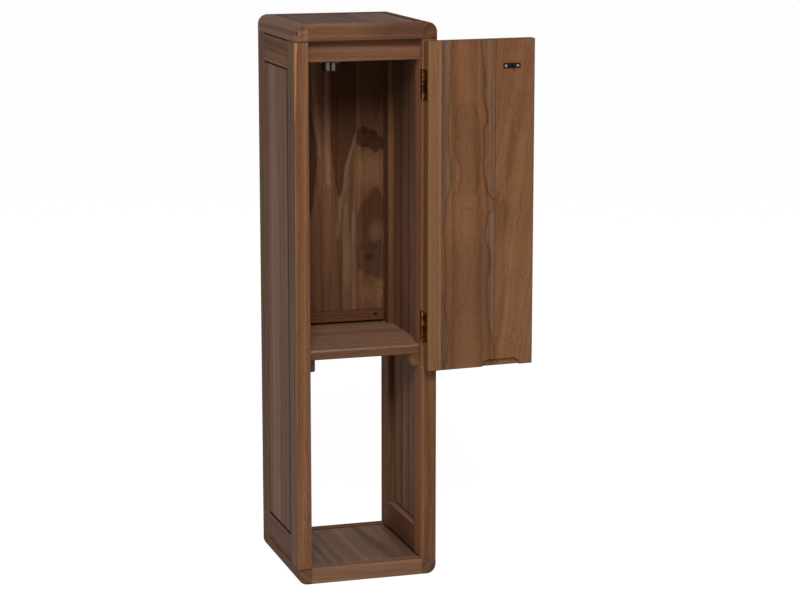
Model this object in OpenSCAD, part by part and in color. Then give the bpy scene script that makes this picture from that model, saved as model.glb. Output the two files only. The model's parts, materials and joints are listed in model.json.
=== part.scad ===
// Tall solid-wood bathroom cabinet: an open bay below, a cupboard with a side-hung door above.
// Origin: centre of the carcass, on the floor. +Z is up, the front faces -Y, +X is the viewer's right.
// The door is drawn where it stands open. Turned back about its hinge pins it closes flush with the front.

/* [Overall size] */
// Width of the cabinet from side to side
body_w = 310; // [290:1:360]
// Depth of the cabinet from front to back
body_d = 310; // [290:1:360]
// Height of the cabinet
body_h = 1200; // [1100:1:1400]

/* [Top and base frames] */
// Thickness of the top frame and of the base frame
slab_t = 35; // [33:0.5:42]
// Radius of the long rounded corners at the left and right
corner_r = 21; // [12:0.5:26]
// Width of the front and back rails of the top and the base
cross_rail_w = 24; // [20:0.5:30]
// Thickness of the boards that fill the top and base frames
slab_board_t = 22; // [18:0.5:24]
// How far those boards lie below the upper face of their frame
slab_board_drop = 0.8; // [0.4:0.1:2]
// Width of the shadow line round those boards
slab_shadow = 2.5; // [1.5:0.5:4]

/* [Side frames] */
// Thickness of the stiles and rails
frame_t = 31; // [28:0.5:36]
// Width of a stile
stile_w = 58; // [52:1:70]
// Height of a side rail
rail_h = 60; // [52:1:80]
// Thickness of the boards in the side frames
panel_t = 18; // [16:0.5:20]
// How far the side boards lie behind the outer face of their frame
panel_drop = 1; // [0.5:0.1:3]
// Width of the shadow line round the side boards
panel_shadow = 3.5; // [2:0.5:6]
// Height of the shadow line between a side rail and the top or base
rail_shadow = 3; // [1.5:0.5:5]
// Depth of that shadow line
rail_shadow_d = 8; // [5:0.5:9]

/* [Wood joints] */
// Thickness of the boards' tongues
tongue_t = 8; // [6:0.5:10]
// How far a tongue reaches into its groove
tongue_l = 6; // [4:0.5:8]
// Thickness of the side rails' tenons
tenon_t = 10; // [8:0.5:12]
// Length of the side rails' tenons
tenon_l = 20; // [16:0.5:24]
// Length of the stub tenons of the top and base rails
stub_l = 10; // [7:0.5:11]
// Diameter of the dowels
dowel_d = 8; // [6:0.5:8]
// Length of the dowels
dowel_l = 30; // [24:1:32]
// Clearance in a glued joint
glue_gap = 0.1; // [0.05:0.05:0.2]
// Width of the eased edges
ease = 1; // [0.5:0.1:1.5]

/* [Cupboard] */
// Height of the shelf's upper face above the floor
shelf_top = 508; // [440:1:600]
// Thickness of the shelf
shelf_t = 22; // [20:0.5:28]
// Radius of the shelf's front edges
nose_r = 4; // [2:0.5:8]
// How far the shelf stops short of the back
shelf_setback = 3; // [2:0.5:4]
// Height of the cleats under the shelf
cleat_h = 25; // [20:0.5:30]
// Width of the cleats
cleat_w = 17; // [16:0.5:24]
// Radius of the cleats' lower edges
cleat_r = 4; // [1:0.5:4]
// How far the cleats lie behind the shelf's front edge
cleat_setback = 3; // [1:0.5:10]
// Height of the rail that the door closes against at the top
head_rail_h = 45; // [38:1:60]
// Thickness of that rail
head_rail_t = 20; // [18:0.5:24]
// Thickness of the back boards
back_t = 12; // [9:0.5:14]
// How far the back boards lie inside the back of the cabinet
back_inset = 8; // [6:0.5:12]
// Visible width of the right-hand back board
back_first_w = 62; // [50:1:70]
// Width of the next back boards
back_board_w = 59; // [50:1:65]

/* [Hanging rails] */
// Height of a hanging rail
hang_h = 24; // [20:0.5:35]
// Thickness of a hanging rail
hang_t = 15; // [12:0.5:20]
// Gap between a hanging rail and the shelf or the top
hang_gap = 6; // [3:0.5:15]
// Gap between the ends of a hanging rail and the stiles
hang_end_gap = 4; // [1:0.5:10]
// Diameter of the wall screw holes
wall_hole_d = 6.5; // [5:0.5:8]
// Distance of the wall screw holes from the stiles
wall_hole_inset = 23; // [16:1:40]

/* [Door] */
// Thickness of the door
door_t = 24; // [22:0.5:27]
// Gap beside the door
door_gap = 2.5; // [2.5:0.1:3.5]
// Gap above the door
door_head_gap = 3; // [2:0.5:6]
// How far the door hangs below the shelf
door_overhang = 27; // [10:1:60]
// Gap between the closed door and the rail and shelf behind it
door_stop_gap = 1.5; // [1:0.1:2.5]
// Angle at which the door stands open
door_open = 184; // [150:1:188]
// Width of the door's hinge-side board
hinge_board_w = 31; // [25:1:45]
// Width of the door's middle board
middle_board_w = 122; // [100:1:130]
// Width of the finger pull
pull_w = 86; // [60:1:100]
// Height of the straight part at the finger pull's ends, below its rounded corners
pull_rise = 1; // [0:0.5:6]
// Depth of the finger pull
pull_d = 8; // [6:0.5:10]
// Radius of the finger pull's upper corners
pull_r = 14.5; // [8:0.5:16]
// Distance of the finger pull from the door's free edge
pull_inset = 30.5; // [15:0.5:40]

/* [Hinges] */
// Height of a hinge
hinge_h = 64; // [55:1:80]
// Distance of the hinge centres from the ends of the door
hinge_inset = 93; // [60:1:140]
// How far a leaf reaches back from the front of the cabinet
leaf_reach = 18; // [15:0.5:20]
// Thickness of a leaf
leaf_t = 1.4; // [1:0.1:1.6]
// Outer diameter of the knuckles
knuckle_d = 6.4; // [6.2:0.1:7.4]
// Diameter of the hinge pins
hinge_pin_d = 3; // [2.5:0.1:3.4]
// Running clearance round a hinge pin
pin_gap = 0.05; // [0.03:0.01:0.08]
// Gap between two knuckles
knuckle_gap = 0.3; // [0.2:0.05:0.5]
// Spacing of the screws in a leaf
hinge_screw_pitch = 23; // [18:1:24]

/* [Catch] */
// Distance of the strike plate's centre from the door's free edge
strike_inset = 53.6; // [40:0.1:62]
// Distance of the strike plate's centre below the middle of the rollers
strike_below = 1.9; // [0:0.1:2.5]
// Length of the strike plate
strike_l = 40; // [36:1:44]
// Height of the strike plate
strike_h = 11; // [9:0.5:13]
// Thickness of the strike plate
strike_t = 1; // [0.8:0.1:1.2]
// Spacing of the strike plate's screws
strike_screw_pitch = 27; // [24:1:29]
// Length of the spear
spear_l = 15; // [14:0.5:16]
// Width of the spear's head
spear_w = 2.9; // [2.4:0.1:3]
// Thickness of the spear's neck
spear_neck = 1.6; // [1:0.1:2]
// Height of the spear
spear_h = 6; // [5:0.5:8]
// How far the catch is set towards the free edge, for the arc that the spear swings on
catch_lead = 0.7; // [0.6:0.1:0.8]
// Length of the catch's mounting plate
catch_l = 42; // [41:0.5:48]
// Depth of the catch from front to back
catch_w = 16; // [15:0.5:18]
// Height of the catch below the rail
catch_h = 20.5; // [20:0.5:24]
// Thickness of the catch's sheet metal
catch_t = 1.3; // [1:0.1:1.5]
// Inner width of the catch
catch_bay = 26; // [25.5:0.5:27]
// Diameter of the rollers
roller_d = 8.2; // [7.6:0.1:8.4]
// Distance between the rollers' centres
roller_pitch = 12.4; // [12.2:0.1:12.8]
// Diameter of the rollers' axle pins
axle_d = 2.8; // [2.4:0.1:3.2]
// How far a roller gives way when the spear passes
roller_travel = 2; // [1.5:0.1:2]

/* [Screws] */
// Diameter of the hinge screws
hinge_screw_d = 3; // [2.5:0.1:3.5]
// Length of the hinge screws
hinge_screw_l = 16; // [12:1:20]
// Diameter of the strike and catch screws
small_screw_d = 2.8; // [2.5:0.1:3]
// Length of the strike and catch screws
small_screw_l = 12; // [9:1:15]
// Diameter of the cleat screws
cleat_screw_d = 4; // [3.5:0.1:4.5]
// Length of the cleat screws
cleat_screw_l = 35; // [32:1:38]

/* [Hidden] */

$fn = 48;

// How far a cutter reaches past the face that it cuts
over = 1;
// Spare depth at the bottom of a groove or mortise
room = 1;
// Small clearance between parts that slide past each other
slide_gap = 0.3;

// Main planes of the carcass
half_w = body_w / 2;
half_d = body_d / 2;
in_x = half_w - frame_t;
base_z = slab_t;
head_z = body_h - slab_t;
stile_y = half_d - stile_w;
cross_y = half_d - cross_rail_w;
frame_mid_x = half_w - frame_t / 2;

// Boards of the side frames
panel_out_x = half_w - panel_drop;
panel_in_x = panel_out_x - panel_t;
panel_mid_x = (panel_out_x + panel_in_x) / 2;
panel_low_z = base_z + rail_h;
panel_high_z = head_z - rail_h;

// Boards of the top and base frames, measured from the underside of their frame
slab_board_z = slab_t - slab_board_drop;
slab_tongue_z = slab_board_z - slab_board_t / 2;

// Wood left in front of a stub tenon
stub_margin = 5;

// Dowels between the side frames and the top and base
dowel_ys = [half_d - stile_w + 12, half_d - 24];

// How far the head rail's dowels reach into a stile
head_dowel_bite = (frame_t - tenon_t) / 2 - 1.5;

// Height of the lower side rails' tenons, clear of the dowels and of the panel's groove
tenon_low = base_z + dowel_l / 2 + 3;
tenon_high = panel_low_z - tongue_l - room - 3;

// Shelf, cleats and back
shelf_low = shelf_top - shelf_t;
stop_y = -half_d + door_t + door_stop_gap;
shelf_back_y = half_d - shelf_setback;
cleat_low = shelf_low - cleat_h;
cleat_front_y = stop_y + cleat_setback;
cleat_back_y = half_d - back_inset;
cleat_screw_y = stile_y + 15;
shelf_screw_y = stile_y * 0.6;
back_y = half_d - back_inset - back_t;
back_joints = [for (i = [0:2]) in_x - back_first_w - i * back_board_w];
head_low = head_z - head_rail_h;
hang_front_y = back_y - hang_t;
wall_hole_x = in_x - wall_hole_inset;
hang_zs = [shelf_top + hang_gap, head_z - hang_gap - hang_h];

// Door, drawn closed and turned by door_open about the hinge pins
door_low = shelf_low - door_overhang;
door_high = head_z - door_head_gap;
door_left = -in_x + door_gap;
door_right = in_x - door_gap;
door_in_y = -half_d + door_t;
hinge_joint_x = door_right - hinge_board_w;
middle_joint_x = hinge_joint_x - middle_board_w;

// Hinges: the pins stand just clear of the front, in the middle of the gap
knuckles = 5;
hinge_proud = knuckle_d / 2 + slide_gap;
pin_x = in_x - door_gap / 2;
pin_y = -half_d - hinge_proud;
hinge_zs = [door_low + hinge_inset, door_high - hinge_inset];
knuckle_pitch = hinge_h / knuckles;

// Catch: a box under the head rail with two sprung rollers
strike_x = door_left + strike_inset;
catch_x = strike_x - catch_lead;
catch_y = stop_y + 0.6;
catch_low = head_low - catch_h;
roller_y = catch_y + roller_d / 2 + slide_gap;
roller_low = catch_low + catch_t + slide_gap;
carriage_h = 4.5;
carriage_high = head_low - catch_t - slide_gap;
carriage_low = carriage_high - carriage_h;
roller_high = carriage_low - slide_gap;
roller_h = roller_high - roller_low;
strike_z = (roller_low + roller_high) / 2 - strike_below;
carriage_half = 3.5;
spring_d = 3.1;
spring_wire = 0.5;
spring_turns = 4;
spring_pocket = 1.8;
ear_x = (catch_l / 2 + catch_bay / 2 + catch_t) / 2;
head_slot = 0.8;

front_wood = [0.50, 0.35, 0.24];
side_wood = [0.38, 0.29, 0.24];
inner_wood = [0.42, 0.29, 0.21];
light_wood = [0.55, 0.40, 0.27];
dowel_wood = [0.70, 0.56, 0.38];
brass = [0.80, 0.58, 0.25];
black_steel = [0.10, 0.10, 0.11];
bright_steel = [0.72, 0.72, 0.74];
roller_grey = [0.55, 0.57, 0.60];

// Building blocks

// Rectangle with its four corners cut off at 45 degrees
module eased_rect(a, b, c = ease) {
    polygon([[c, 0], [a - c, 0], [a, c], [a, b - c], [a - c, b], [c, b], [0, b - c], [0, c]]);
}

// Plain box between two corners
module block(lo, hi) {
    translate(lo) cube(hi - lo);
}

// Bar along X, Y or Z between two corners, with its four long edges eased
module bar_x(lo, hi, c = ease) {
    translate(lo) rotate([90, 0, 90])
        linear_extrude(hi.x - lo.x) eased_rect(hi.y - lo.y, hi.z - lo.z, c);
}

module bar_y(lo, hi, c = ease) {
    translate([lo.x, hi.y, lo.z]) rotate([90, 0, 0])
        linear_extrude(hi.y - lo.y) eased_rect(hi.x - lo.x, hi.z - lo.z, c);
}

module bar_z(lo, hi, c = ease) {
    translate(lo) linear_extrude(hi.z - lo.z) eased_rect(hi.x - lo.x, hi.y - lo.y, c);
}

// Box with all twelve edges eased
module eased_block(lo, hi, c = ease) {
    intersection() {
        bar_x(lo, hi, c);
        bar_y(lo, hi, c);
        bar_z(lo, hi, c);
    }
}

// Round bar along Z with eased ends
module round_bar(r, h, c = ease) {
    rotate_extrude() polygon([[0, 0], [r - c, 0], [r, c], [r, h - c], [r - c, h], [0, h]]);
}

// What lies between two planes across X, or across Y
module slice_x(a, b) {
    intersection() {
        children();
        block([a, -body_d, -over], [b, body_d, body_h + over]);
    }
}

module slice_y(a, b) {
    intersection() {
        children();
        block([-body_w, a, -over], [body_w, b, body_h + over]);
    }
}

// Shapes for the right side serve the left side too, and the front the back
module on_side(side) {
    mirror([side < 0 ? 1 : 0, 0, 0]) children();
}

module at_front(front) {
    mirror([0, front ? 0 : 1, 0]) children();
}

// Turns what is drawn for the closed door to where the door stands open
module on_door() {
    translate([pin_x, pin_y, 0]) rotate(door_open) translate([-pin_x, -pin_y, 0]) children();
}

// Countersunk screw along +Z with the top of its head at the origin
module screw(d, l, head_d, gap = 0) {
    head_h = (head_d - d) / 2;
    tip = d;
    r = d / 2 + gap;
    cylinder(r1 = head_d / 2 + gap, r2 = r, h = head_h);
    cylinder(r = r, h = l - tip);
    translate([0, 0, l - tip]) cylinder(r1 = r, r2 = r / 4, h = tip + gap);
}

// The same screw with a cross slot in its head
module slotted_screw(d, l, head_d) {
    difference() {
        screw(d, l, head_d);
        for (a = [0, 90]) rotate(a)
            translate([-head_d / 3, -head_slot / 2, -over]) cube([head_d * 2 / 3, head_slot, over + d / 4]);
    }
}

// Round-headed screw along +Z with its head below the origin
module pan_screw(d, l) {
    head_h = d * 0.6;
    difference() {
        union() {
            translate([0, 0, -head_h]) cylinder(r1 = d * 0.7, r2 = d * 0.92, h = head_h);
            screw(d, l, d);
        }
        for (a = [0, 90]) rotate(a)
            translate([-d / 2, -head_slot / 2, -head_h - over]) cube([d, head_slot, over + head_h / 2]);
    }
}

// Dowels and screws of the right side, also as cutters for their holes

module dowel(gap = 0) {
    translate([0, 0, -gap]) round_bar(dowel_d / 2 + gap, dowel_l + 2 * gap);
}

module side_dowels(gap = 0) {
    for (z = [base_z, head_z], y = dowel_ys, s = [-1, 1])
        translate([frame_mid_x, s * y, z - dowel_l / 2]) dowel(gap);
    for (k = [0.27, 0.73])
        translate([in_x + head_dowel_bite - dowel_l, stop_y + head_rail_t / 2, head_z - k * head_rail_h])
            rotate([0, 90, 0]) dowel(gap);
}

module side_cleat_screws() {
    for (s = [-1, 1]) {
        translate([in_x - cleat_w, s * cleat_screw_y, cleat_low + cleat_h / 2])
            rotate([0, 90, 0]) children();
        translate([in_x - cleat_w / 2, s * shelf_screw_y, cleat_low]) children();
    }
}

module cleat_screw_holes() {
    side_cleat_screws() screw(cleat_screw_d, cleat_screw_l, cleat_screw_d * 2, glue_gap);
}

// Top and base frames

// Rail at the left and right, with the long rounded corner up on the top and down on the base
module corner_rail(side, top) {
    round_x = half_w - corner_r;
    round_z = top ? slab_t - corner_r : corner_r;
    groove_l = cross_y + tongue_l + room;
    color(side_wood) on_side(side) difference() {
        translate([0, 0, top ? head_z : 0]) difference() {
            intersection() {
                eased_block([in_x - 2 * ease, -half_d, 0], [half_w, half_d, slab_t]);
                block([in_x, -half_d, 0], [half_w, half_d, slab_t]);
                union() {
                    block([in_x, -half_d, 0], [round_x, half_d, slab_t]);
                    block([in_x, -half_d, top ? 0 : round_z], [half_w, half_d, top ? round_z : slab_t]);
                    translate([round_x, half_d, round_z]) rotate([90, 0, 0]) round_bar(corner_r, body_d);
                }
            }
            block([in_x - over, -groove_l, slab_tongue_z - tongue_t / 2 - glue_gap],
                  [in_x + tongue_l + room, groove_l, slab_tongue_z + tongue_t / 2 + glue_gap]);
            for (front = [true, false]) at_front(front)
                block([in_x - over, -half_d + stub_margin - glue_gap, (slab_t - tenon_t) / 2 - glue_gap],
                      [in_x + stub_l + glue_gap, -groove_l + glue_gap, (slab_t + tenon_t) / 2 + glue_gap]);
        }
        side_dowels(glue_gap);
    }
}

// Rail between the corner rails, with a stub tenon at each end and a groove for the boards
module cross_rail(front, top) {
    color(front_wood) at_front(front) translate([0, 0, top ? head_z : 0]) difference() {
        union() {
            bar_x([-in_x, -half_d, 0], [in_x, -cross_y, slab_t]);
            block([-in_x - stub_l, -half_d + stub_margin, slab_t / 2 - tenon_t / 2],
                  [in_x + stub_l, -cross_y - tongue_l - room, slab_t / 2 + tenon_t / 2]);
        }
        block([-in_x - over, -cross_y - tongue_l - room, slab_tongue_z - tongue_t / 2 - glue_gap],
              [in_x + over, -cross_y + over, slab_tongue_z + tongue_t / 2 + glue_gap]);
    }
}

// The glued boards that fill the frame, with a tongue all round
module slab_boards() {
    face = [in_x - slab_shadow, cross_y - slab_shadow];
    edge = [in_x + tongue_l, cross_y + tongue_l];
    eased_block([-face.x, -face.y, slab_board_z - slab_board_t], [face.x, face.y, slab_board_z]);
    block([-edge.x, -edge.y, slab_tongue_z - tongue_t / 2], [edge.x, edge.y, slab_tongue_z + tongue_t / 2]);
}

// One of the three boards, counted from the left
module slab_board(index, top) {
    edges = [for (k = [-3:2:3]) (in_x + tongue_l) * k / 3];
    color(side_wood) translate([0, 0, top ? head_z : 0])
        slice_x(edges[index], edges[index + 1]) slab_boards();
}

// Side frames

// Cuts for the panel's tongue and the rails' tenons in a front stile
module stile_cuts() {
    block([panel_mid_x - tongue_t / 2 - glue_gap, -stile_y - tongue_l - room,
           panel_low_z - tongue_l - room],
          [panel_mid_x + tongue_t / 2 + glue_gap, -stile_y + over, panel_high_z + tongue_l + room]);
    for (low = [true, false]) on_rail(low)
        block([frame_mid_x - tenon_t / 2 - glue_gap, -stile_y - tenon_l - glue_gap, tenon_low - glue_gap],
              [frame_mid_x + tenon_t / 2 + glue_gap, -stile_y + over, tenon_high + glue_gap]);
}

// Shapes for the bottom rail serve the top rail too
module on_rail(low) {
    translate([0, 0, low ? 0 : base_z + head_z]) mirror([0, 0, low ? 0 : 1]) children();
}

module stile(side, front) {
    color(front ? front_wood : side_wood) on_side(side) difference() {
        at_front(front) bar_z([in_x, -half_d, base_z], [half_w, -stile_y, head_z]);
        at_front(front) stile_cuts();
        side_dowels(glue_gap);
        cleat_screw_holes();
        if (!front) back_groove();
        if (front && side > 0) hinge_cuts();
    }
}

// Rail of a side frame, with tenons into the stiles and a shadow line against the top or base
module side_rail(side, low) {
    color(side_wood) on_side(side) on_rail(low) difference() {
        union() {
            bar_y([in_x, -stile_y, base_z], [half_w, stile_y, panel_low_z]);
            block([frame_mid_x - tenon_t / 2, -stile_y - tenon_l, tenon_low],
                  [frame_mid_x + tenon_t / 2, stile_y + tenon_l, tenon_high]);
        }
        block([panel_mid_x - tongue_t / 2 - glue_gap, -body_d, panel_low_z - tongue_l - room],
              [panel_mid_x + tongue_t / 2 + glue_gap, body_d, panel_low_z + over]);
        for (x = [in_x - over, half_w - rail_shadow_d])
            block([x, -stile_y - over, base_z - over],
                  [x + rail_shadow_d + over, stile_y + over, base_z + rail_shadow]);
    }
}

// The two glued boards of a side frame, with a tongue all round
module side_boards() {
    eased_block([panel_in_x, -stile_y + panel_shadow, panel_low_z + panel_shadow],
                [panel_out_x, stile_y - panel_shadow, panel_high_z - panel_shadow]);
    block([panel_mid_x - tongue_t / 2, -stile_y - tongue_l, panel_low_z - tongue_l],
          [panel_mid_x + tongue_t / 2, stile_y + tongue_l, panel_high_z + tongue_l]);
}

module side_board(side, front) {
    color(side_wood) on_side(side) at_front(front) slice_y(-half_d, 0) side_boards();
}

// Cupboard

module head_rail() {
    color(front_wood) difference() {
        bar_x([-in_x, stop_y, head_low], [in_x, stop_y + head_rail_t, head_z]);
        for (side = [-1, 1]) on_side(side) side_dowels(glue_gap);
        catch_screw_places() screw(small_screw_d, small_screw_l, small_screw_d, glue_gap);
    }
}

// Groove in the back stiles for the back boards
module back_groove() {
    block([in_x - over, back_y - glue_gap, shelf_top - tongue_l - glue_gap],
          [in_x + tongue_l + room, back_y + back_t + glue_gap, head_z + over]);
}

// Wall screw holes through the hanging rails and the back boards
module wall_holes() {
    sink = wall_hole_d * 0.35;
    for (x = [-wall_hole_x, wall_hole_x], z = hang_zs)
        translate([x, hang_front_y, z + hang_h / 2]) rotate([-90, 0, 0]) {
            translate([0, 0, -over]) cylinder(d = wall_hole_d, h = hang_t + back_t + 2 * over);
            cylinder(d1 = wall_hole_d + 2 * sink, d2 = wall_hole_d, h = sink);
        }
}

// Back boards 1 to 4, from the left
module back_board(number) {
    edges = [-in_x - tongue_l, back_joints[2], back_joints[1], back_joints[0], in_x + tongue_l];
    color(inner_wood) difference() {
        block([edges[number - 1], back_y, shelf_top - tongue_l],
              [edges[number], back_y + back_t, head_z - glue_gap]);
        wall_holes();
    }
}

module hanging_rail(index) {
    color(inner_wood) difference() {
        bar_x([-in_x + hang_end_gap, hang_front_y, hang_zs[index]],
              [in_x - hang_end_gap, back_y, hang_zs[index] + hang_h]);
        wall_holes();
    }
}

// The shelf's two boards, notched round the stiles and grooved for the back
module shelf_boards() {
    difference() {
        union() {
            translate([-in_x + slide_gap, 0, 0]) rotate([90, 0, 90])
                linear_extrude(2 * (in_x - slide_gap)) shelf_outline();
            block([-panel_in_x + slide_gap, -stile_y + slide_gap, shelf_low],
                  [panel_in_x - slide_gap, stile_y - slide_gap, shelf_top]);
        }
        block([-body_w, back_y - glue_gap, shelf_top - tongue_l - glue_gap],
              [body_w, back_y + back_t + glue_gap, shelf_top + over]);
        for (side = [-1, 1]) on_side(side) cleat_screw_holes();
    }
}

// The shelf seen from its end, with a rounded front
module shelf_outline() {
    translate([stop_y + nose_r, shelf_low]) square([shelf_back_y - stop_y - nose_r, shelf_t]);
    translate([stop_y, shelf_low + nose_r]) square([nose_r * 2, shelf_t - 2 * nose_r]);
    for (z = [shelf_low + nose_r, shelf_top - nose_r]) translate([stop_y + nose_r, z]) circle(r = nose_r);
}

module shelf_board(front) {
    joint_y = (stop_y + shelf_back_y) / 2;
    color(inner_wood) slice_y(front ? -half_d : joint_y, front ? joint_y : half_d) shelf_boards();
}

// A cleat seen from its end, with rounded lower edges
module cleat_outline() {
    translate([in_x - cleat_w, cleat_low + cleat_r]) square([cleat_w, cleat_h - cleat_r]);
    translate([in_x - cleat_w + cleat_r, cleat_low]) square([cleat_w - 2 * cleat_r, 2 * cleat_r]);
    for (x = [in_x - cleat_w + cleat_r, in_x - cleat_r])
        translate([x, cleat_low + cleat_r]) circle(r = cleat_r);
}

module cleat(side) {
    color(inner_wood) on_side(side) difference() {
        translate([0, cleat_back_y, 0]) rotate([90, 0, 0])
            linear_extrude(cleat_back_y - cleat_front_y) cleat_outline();
        cleat_screw_holes();
    }
}

module cleat_screws() {
    color(bright_steel) for (side = [-1, 1]) on_side(side)
        side_cleat_screws() slotted_screw(cleat_screw_d, cleat_screw_l, cleat_screw_d * 2);
}

module dowels() {
    color(dowel_wood) for (side = [-1, 1]) on_side(side) side_dowels();
}

// Door

// The whole door as it hangs when closed
module door_panel() {
    difference() {
        eased_block([door_left, -half_d, door_low], [door_right, door_in_y, door_high]);
        finger_pull();
        for (z = hinge_zs) at_hinge(z) mirror([1, 0, 0]) {
            leaf_pocket();
            leaf_screws() screw(hinge_screw_d, hinge_screw_l, hinge_screw_d * 2, glue_gap);
        }
        strike_screw_places() screw(small_screw_d, small_screw_l, small_screw_d * 2, glue_gap);
    }
}

// Hollow at the bottom of the door's inner face, for the fingers
module finger_pull() {
    translate([door_left + pull_inset, door_in_y + over, door_low]) rotate([90, 0, 0])
        linear_extrude(pull_d + over) {
            translate([0, -over]) square([pull_w, pull_rise + over]);
            translate([pull_r, -over]) square([pull_w - 2 * pull_r, pull_rise + pull_r + over]);
            intersection() {
                for (x = [pull_r, pull_w - pull_r]) translate([x, pull_rise]) circle(r = pull_r);
                translate([0, -over]) square([pull_w, pull_rise + pull_r + over]);
            }
        }
}

module door_hinge_board() {
    color(light_wood) on_door() slice_x(hinge_joint_x, in_x) door_panel();
}

module door_middle_board() {
    color(front_wood) on_door() slice_x(middle_joint_x, hinge_joint_x) door_panel();
}

module door_free_board() {
    color(front_wood) on_door() slice_x(-in_x, middle_joint_x) door_panel();
}

// Hinges, each drawn about its own centre on the pin with the stile at +X

module at_hinge(z) {
    translate([pin_x, pin_y, z]) children();
}

// Recess for a leaf in the edge that it is screwed to
module leaf_pocket() {
    block([door_gap / 2 - over, hinge_proud - over, -hinge_h / 2 - glue_gap],
          [door_gap / 2 + leaf_t + glue_gap, hinge_proud + leaf_reach + glue_gap, hinge_h / 2 + glue_gap]);
}

module leaf_screws() {
    for (k = [-1:1]) translate([door_gap / 2, hinge_proud + leaf_reach * 0.58, k * hinge_screw_pitch])
        rotate([0, 90, 0]) children();
}

module hinge_cuts() {
    for (z = hinge_zs) at_hinge(z) {
        leaf_pocket();
        leaf_screws() screw(hinge_screw_d, hinge_screw_l, hinge_screw_d * 2, glue_gap);
    }
}

// Leaf with its knuckles, from knuckle number first and every second one after it
module hinge_leaf(first) {
    difference() {
        union() {
            block([door_gap / 2, hinge_proud, -hinge_h / 2],
                  [door_gap / 2 + leaf_t, hinge_proud + leaf_reach, hinge_h / 2]);
            for (i = [first:2:knuckles - 1]) {
                z = -hinge_h / 2 + i * knuckle_pitch + knuckle_gap / 2;
                h = knuckle_pitch - knuckle_gap;
                translate([0, 0, z]) cylinder(d = knuckle_d, h = h);
                block([door_gap / 2, 0, z], [door_gap / 2 + leaf_t, hinge_proud + over, z + h]);
            }
        }
        cylinder(r = hinge_pin_d / 2 + pin_gap, h = hinge_h + 2 * over, center = true);
        leaf_screws() screw(hinge_screw_d, hinge_screw_l, hinge_screw_d * 2, pin_gap);
    }
}

module frame_leaf(z) {
    color(brass) at_hinge(z) hinge_leaf(0);
}

module door_leaf(z) {
    color(brass) on_door() at_hinge(z) mirror([1, 0, 0]) hinge_leaf(1);
}

// Pins with a low button at each end
module hinge_pins() {
    button_h = 1;
    button_d = knuckle_d * 0.72;
    color(brass) for (z = hinge_zs) at_hinge(z) {
        cylinder(d = hinge_pin_d, h = hinge_h, center = true);
        for (up = [0, 1]) mirror([0, 0, up]) translate([0, 0, hinge_h / 2])
            cylinder(d1 = button_d, d2 = button_d * 0.6, h = button_h);
    }
}

module frame_hinge_screws() {
    color(brass) for (z = hinge_zs) at_hinge(z)
        leaf_screws() slotted_screw(hinge_screw_d, hinge_screw_l, hinge_screw_d * 2);
}

module door_hinge_screws() {
    color(brass) on_door() for (z = hinge_zs) at_hinge(z) mirror([1, 0, 0])
        leaf_screws() slotted_screw(hinge_screw_d, hinge_screw_l, hinge_screw_d * 2);
}

// Strike on the door's inner face

module strike_screw_places() {
    for (s = [-1, 1]) translate([strike_x + s * strike_screw_pitch / 2, door_in_y + strike_t, strike_z])
        rotate([90, 0, 0]) children();
}

// Plate with rounded ends and a spear that points into the cupboard
module strike_plate() {
    r = strike_h / 4;
    neck_l = spear_l * 0.5;
    head_l = spear_l * 0.14;
    color(black_steel) on_door() difference() {
        union() {
            translate([strike_x, door_in_y + strike_t, strike_z]) rotate([90, 0, 0])
                linear_extrude(strike_t) {
                    square([strike_l - 2 * r, strike_h], center = true);
                    square([strike_l, strike_h - 2 * r], center = true);
                    for (x = [-1, 1], z = [-1, 1])
                        translate([x * (strike_l / 2 - r), z * (strike_h / 2 - r)]) circle(r = r);
                }
            translate([strike_x, door_in_y + strike_t / 2, strike_z - spear_h / 2]) linear_extrude(spear_h)
                polygon([[-spear_neck / 2, 0], [spear_neck / 2, 0], [spear_neck / 2, neck_l],
                         [spear_w / 2, neck_l + head_l], [spear_neck / 6, spear_l],
                         [-spear_neck / 6, spear_l], [-spear_w / 2, neck_l + head_l],
                         [-spear_neck / 2, neck_l]]);
        }
        strike_screw_places() screw(small_screw_d, small_screw_l, small_screw_d * 2, pin_gap);
    }
}

module strike_screws() {
    color(bright_steel) on_door()
        strike_screw_places() slotted_screw(small_screw_d, small_screw_l, small_screw_d * 2);
}

// Catch under the head rail

module catch_screw_places() {
    for (s = [-1, 1])
        translate([catch_x + s * ear_x, stop_y + head_rail_t / 2, head_low - catch_t]) children();
}

// Shapes for the right-hand roller serve the left-hand one too
module on_roller(side) {
    translate([catch_x, 0, 0]) mirror([side < 0 ? 1 : 0, 0, 0])
        translate([roller_pitch / 2, roller_y, 0]) children();
}

// Folded sheet box, open to the front and the back, with a slot for each axle pin
module catch_housing() {
    bay = catch_bay / 2;
    slot_w = axle_d + 2 * slide_gap;
    color(black_steel) difference() {
        union() {
            block([catch_x - catch_l / 2, catch_y, head_low - catch_t],
                  [catch_x + catch_l / 2, catch_y + catch_w, head_low]);
            block([catch_x - bay - catch_t, catch_y, catch_low],
                  [catch_x + bay + catch_t, catch_y + catch_w, head_low]);
        }
        block([catch_x - bay, catch_y - over, catch_low + catch_t],
              [catch_x + bay, catch_y + catch_w + over, head_low - catch_t]);
        for (side = [-1, 1]) on_roller(side) translate([0, 0, catch_low - over]) {
            for (x = [0, roller_travel]) translate([x, 0, 0]) cylinder(d = slot_w, h = catch_t + 2 * over);
            translate([0, -slot_w / 2, 0]) cube([roller_travel, slot_w, catch_t + 2 * over]);
        }
        catch_screw_places() cylinder(d = small_screw_d + 2 * glue_gap, h = 4 * over, center = true);
    }
}

module catch_screws() {
    color(bright_steel) catch_screw_places() pan_screw(small_screw_d, small_screw_l);
}

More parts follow.
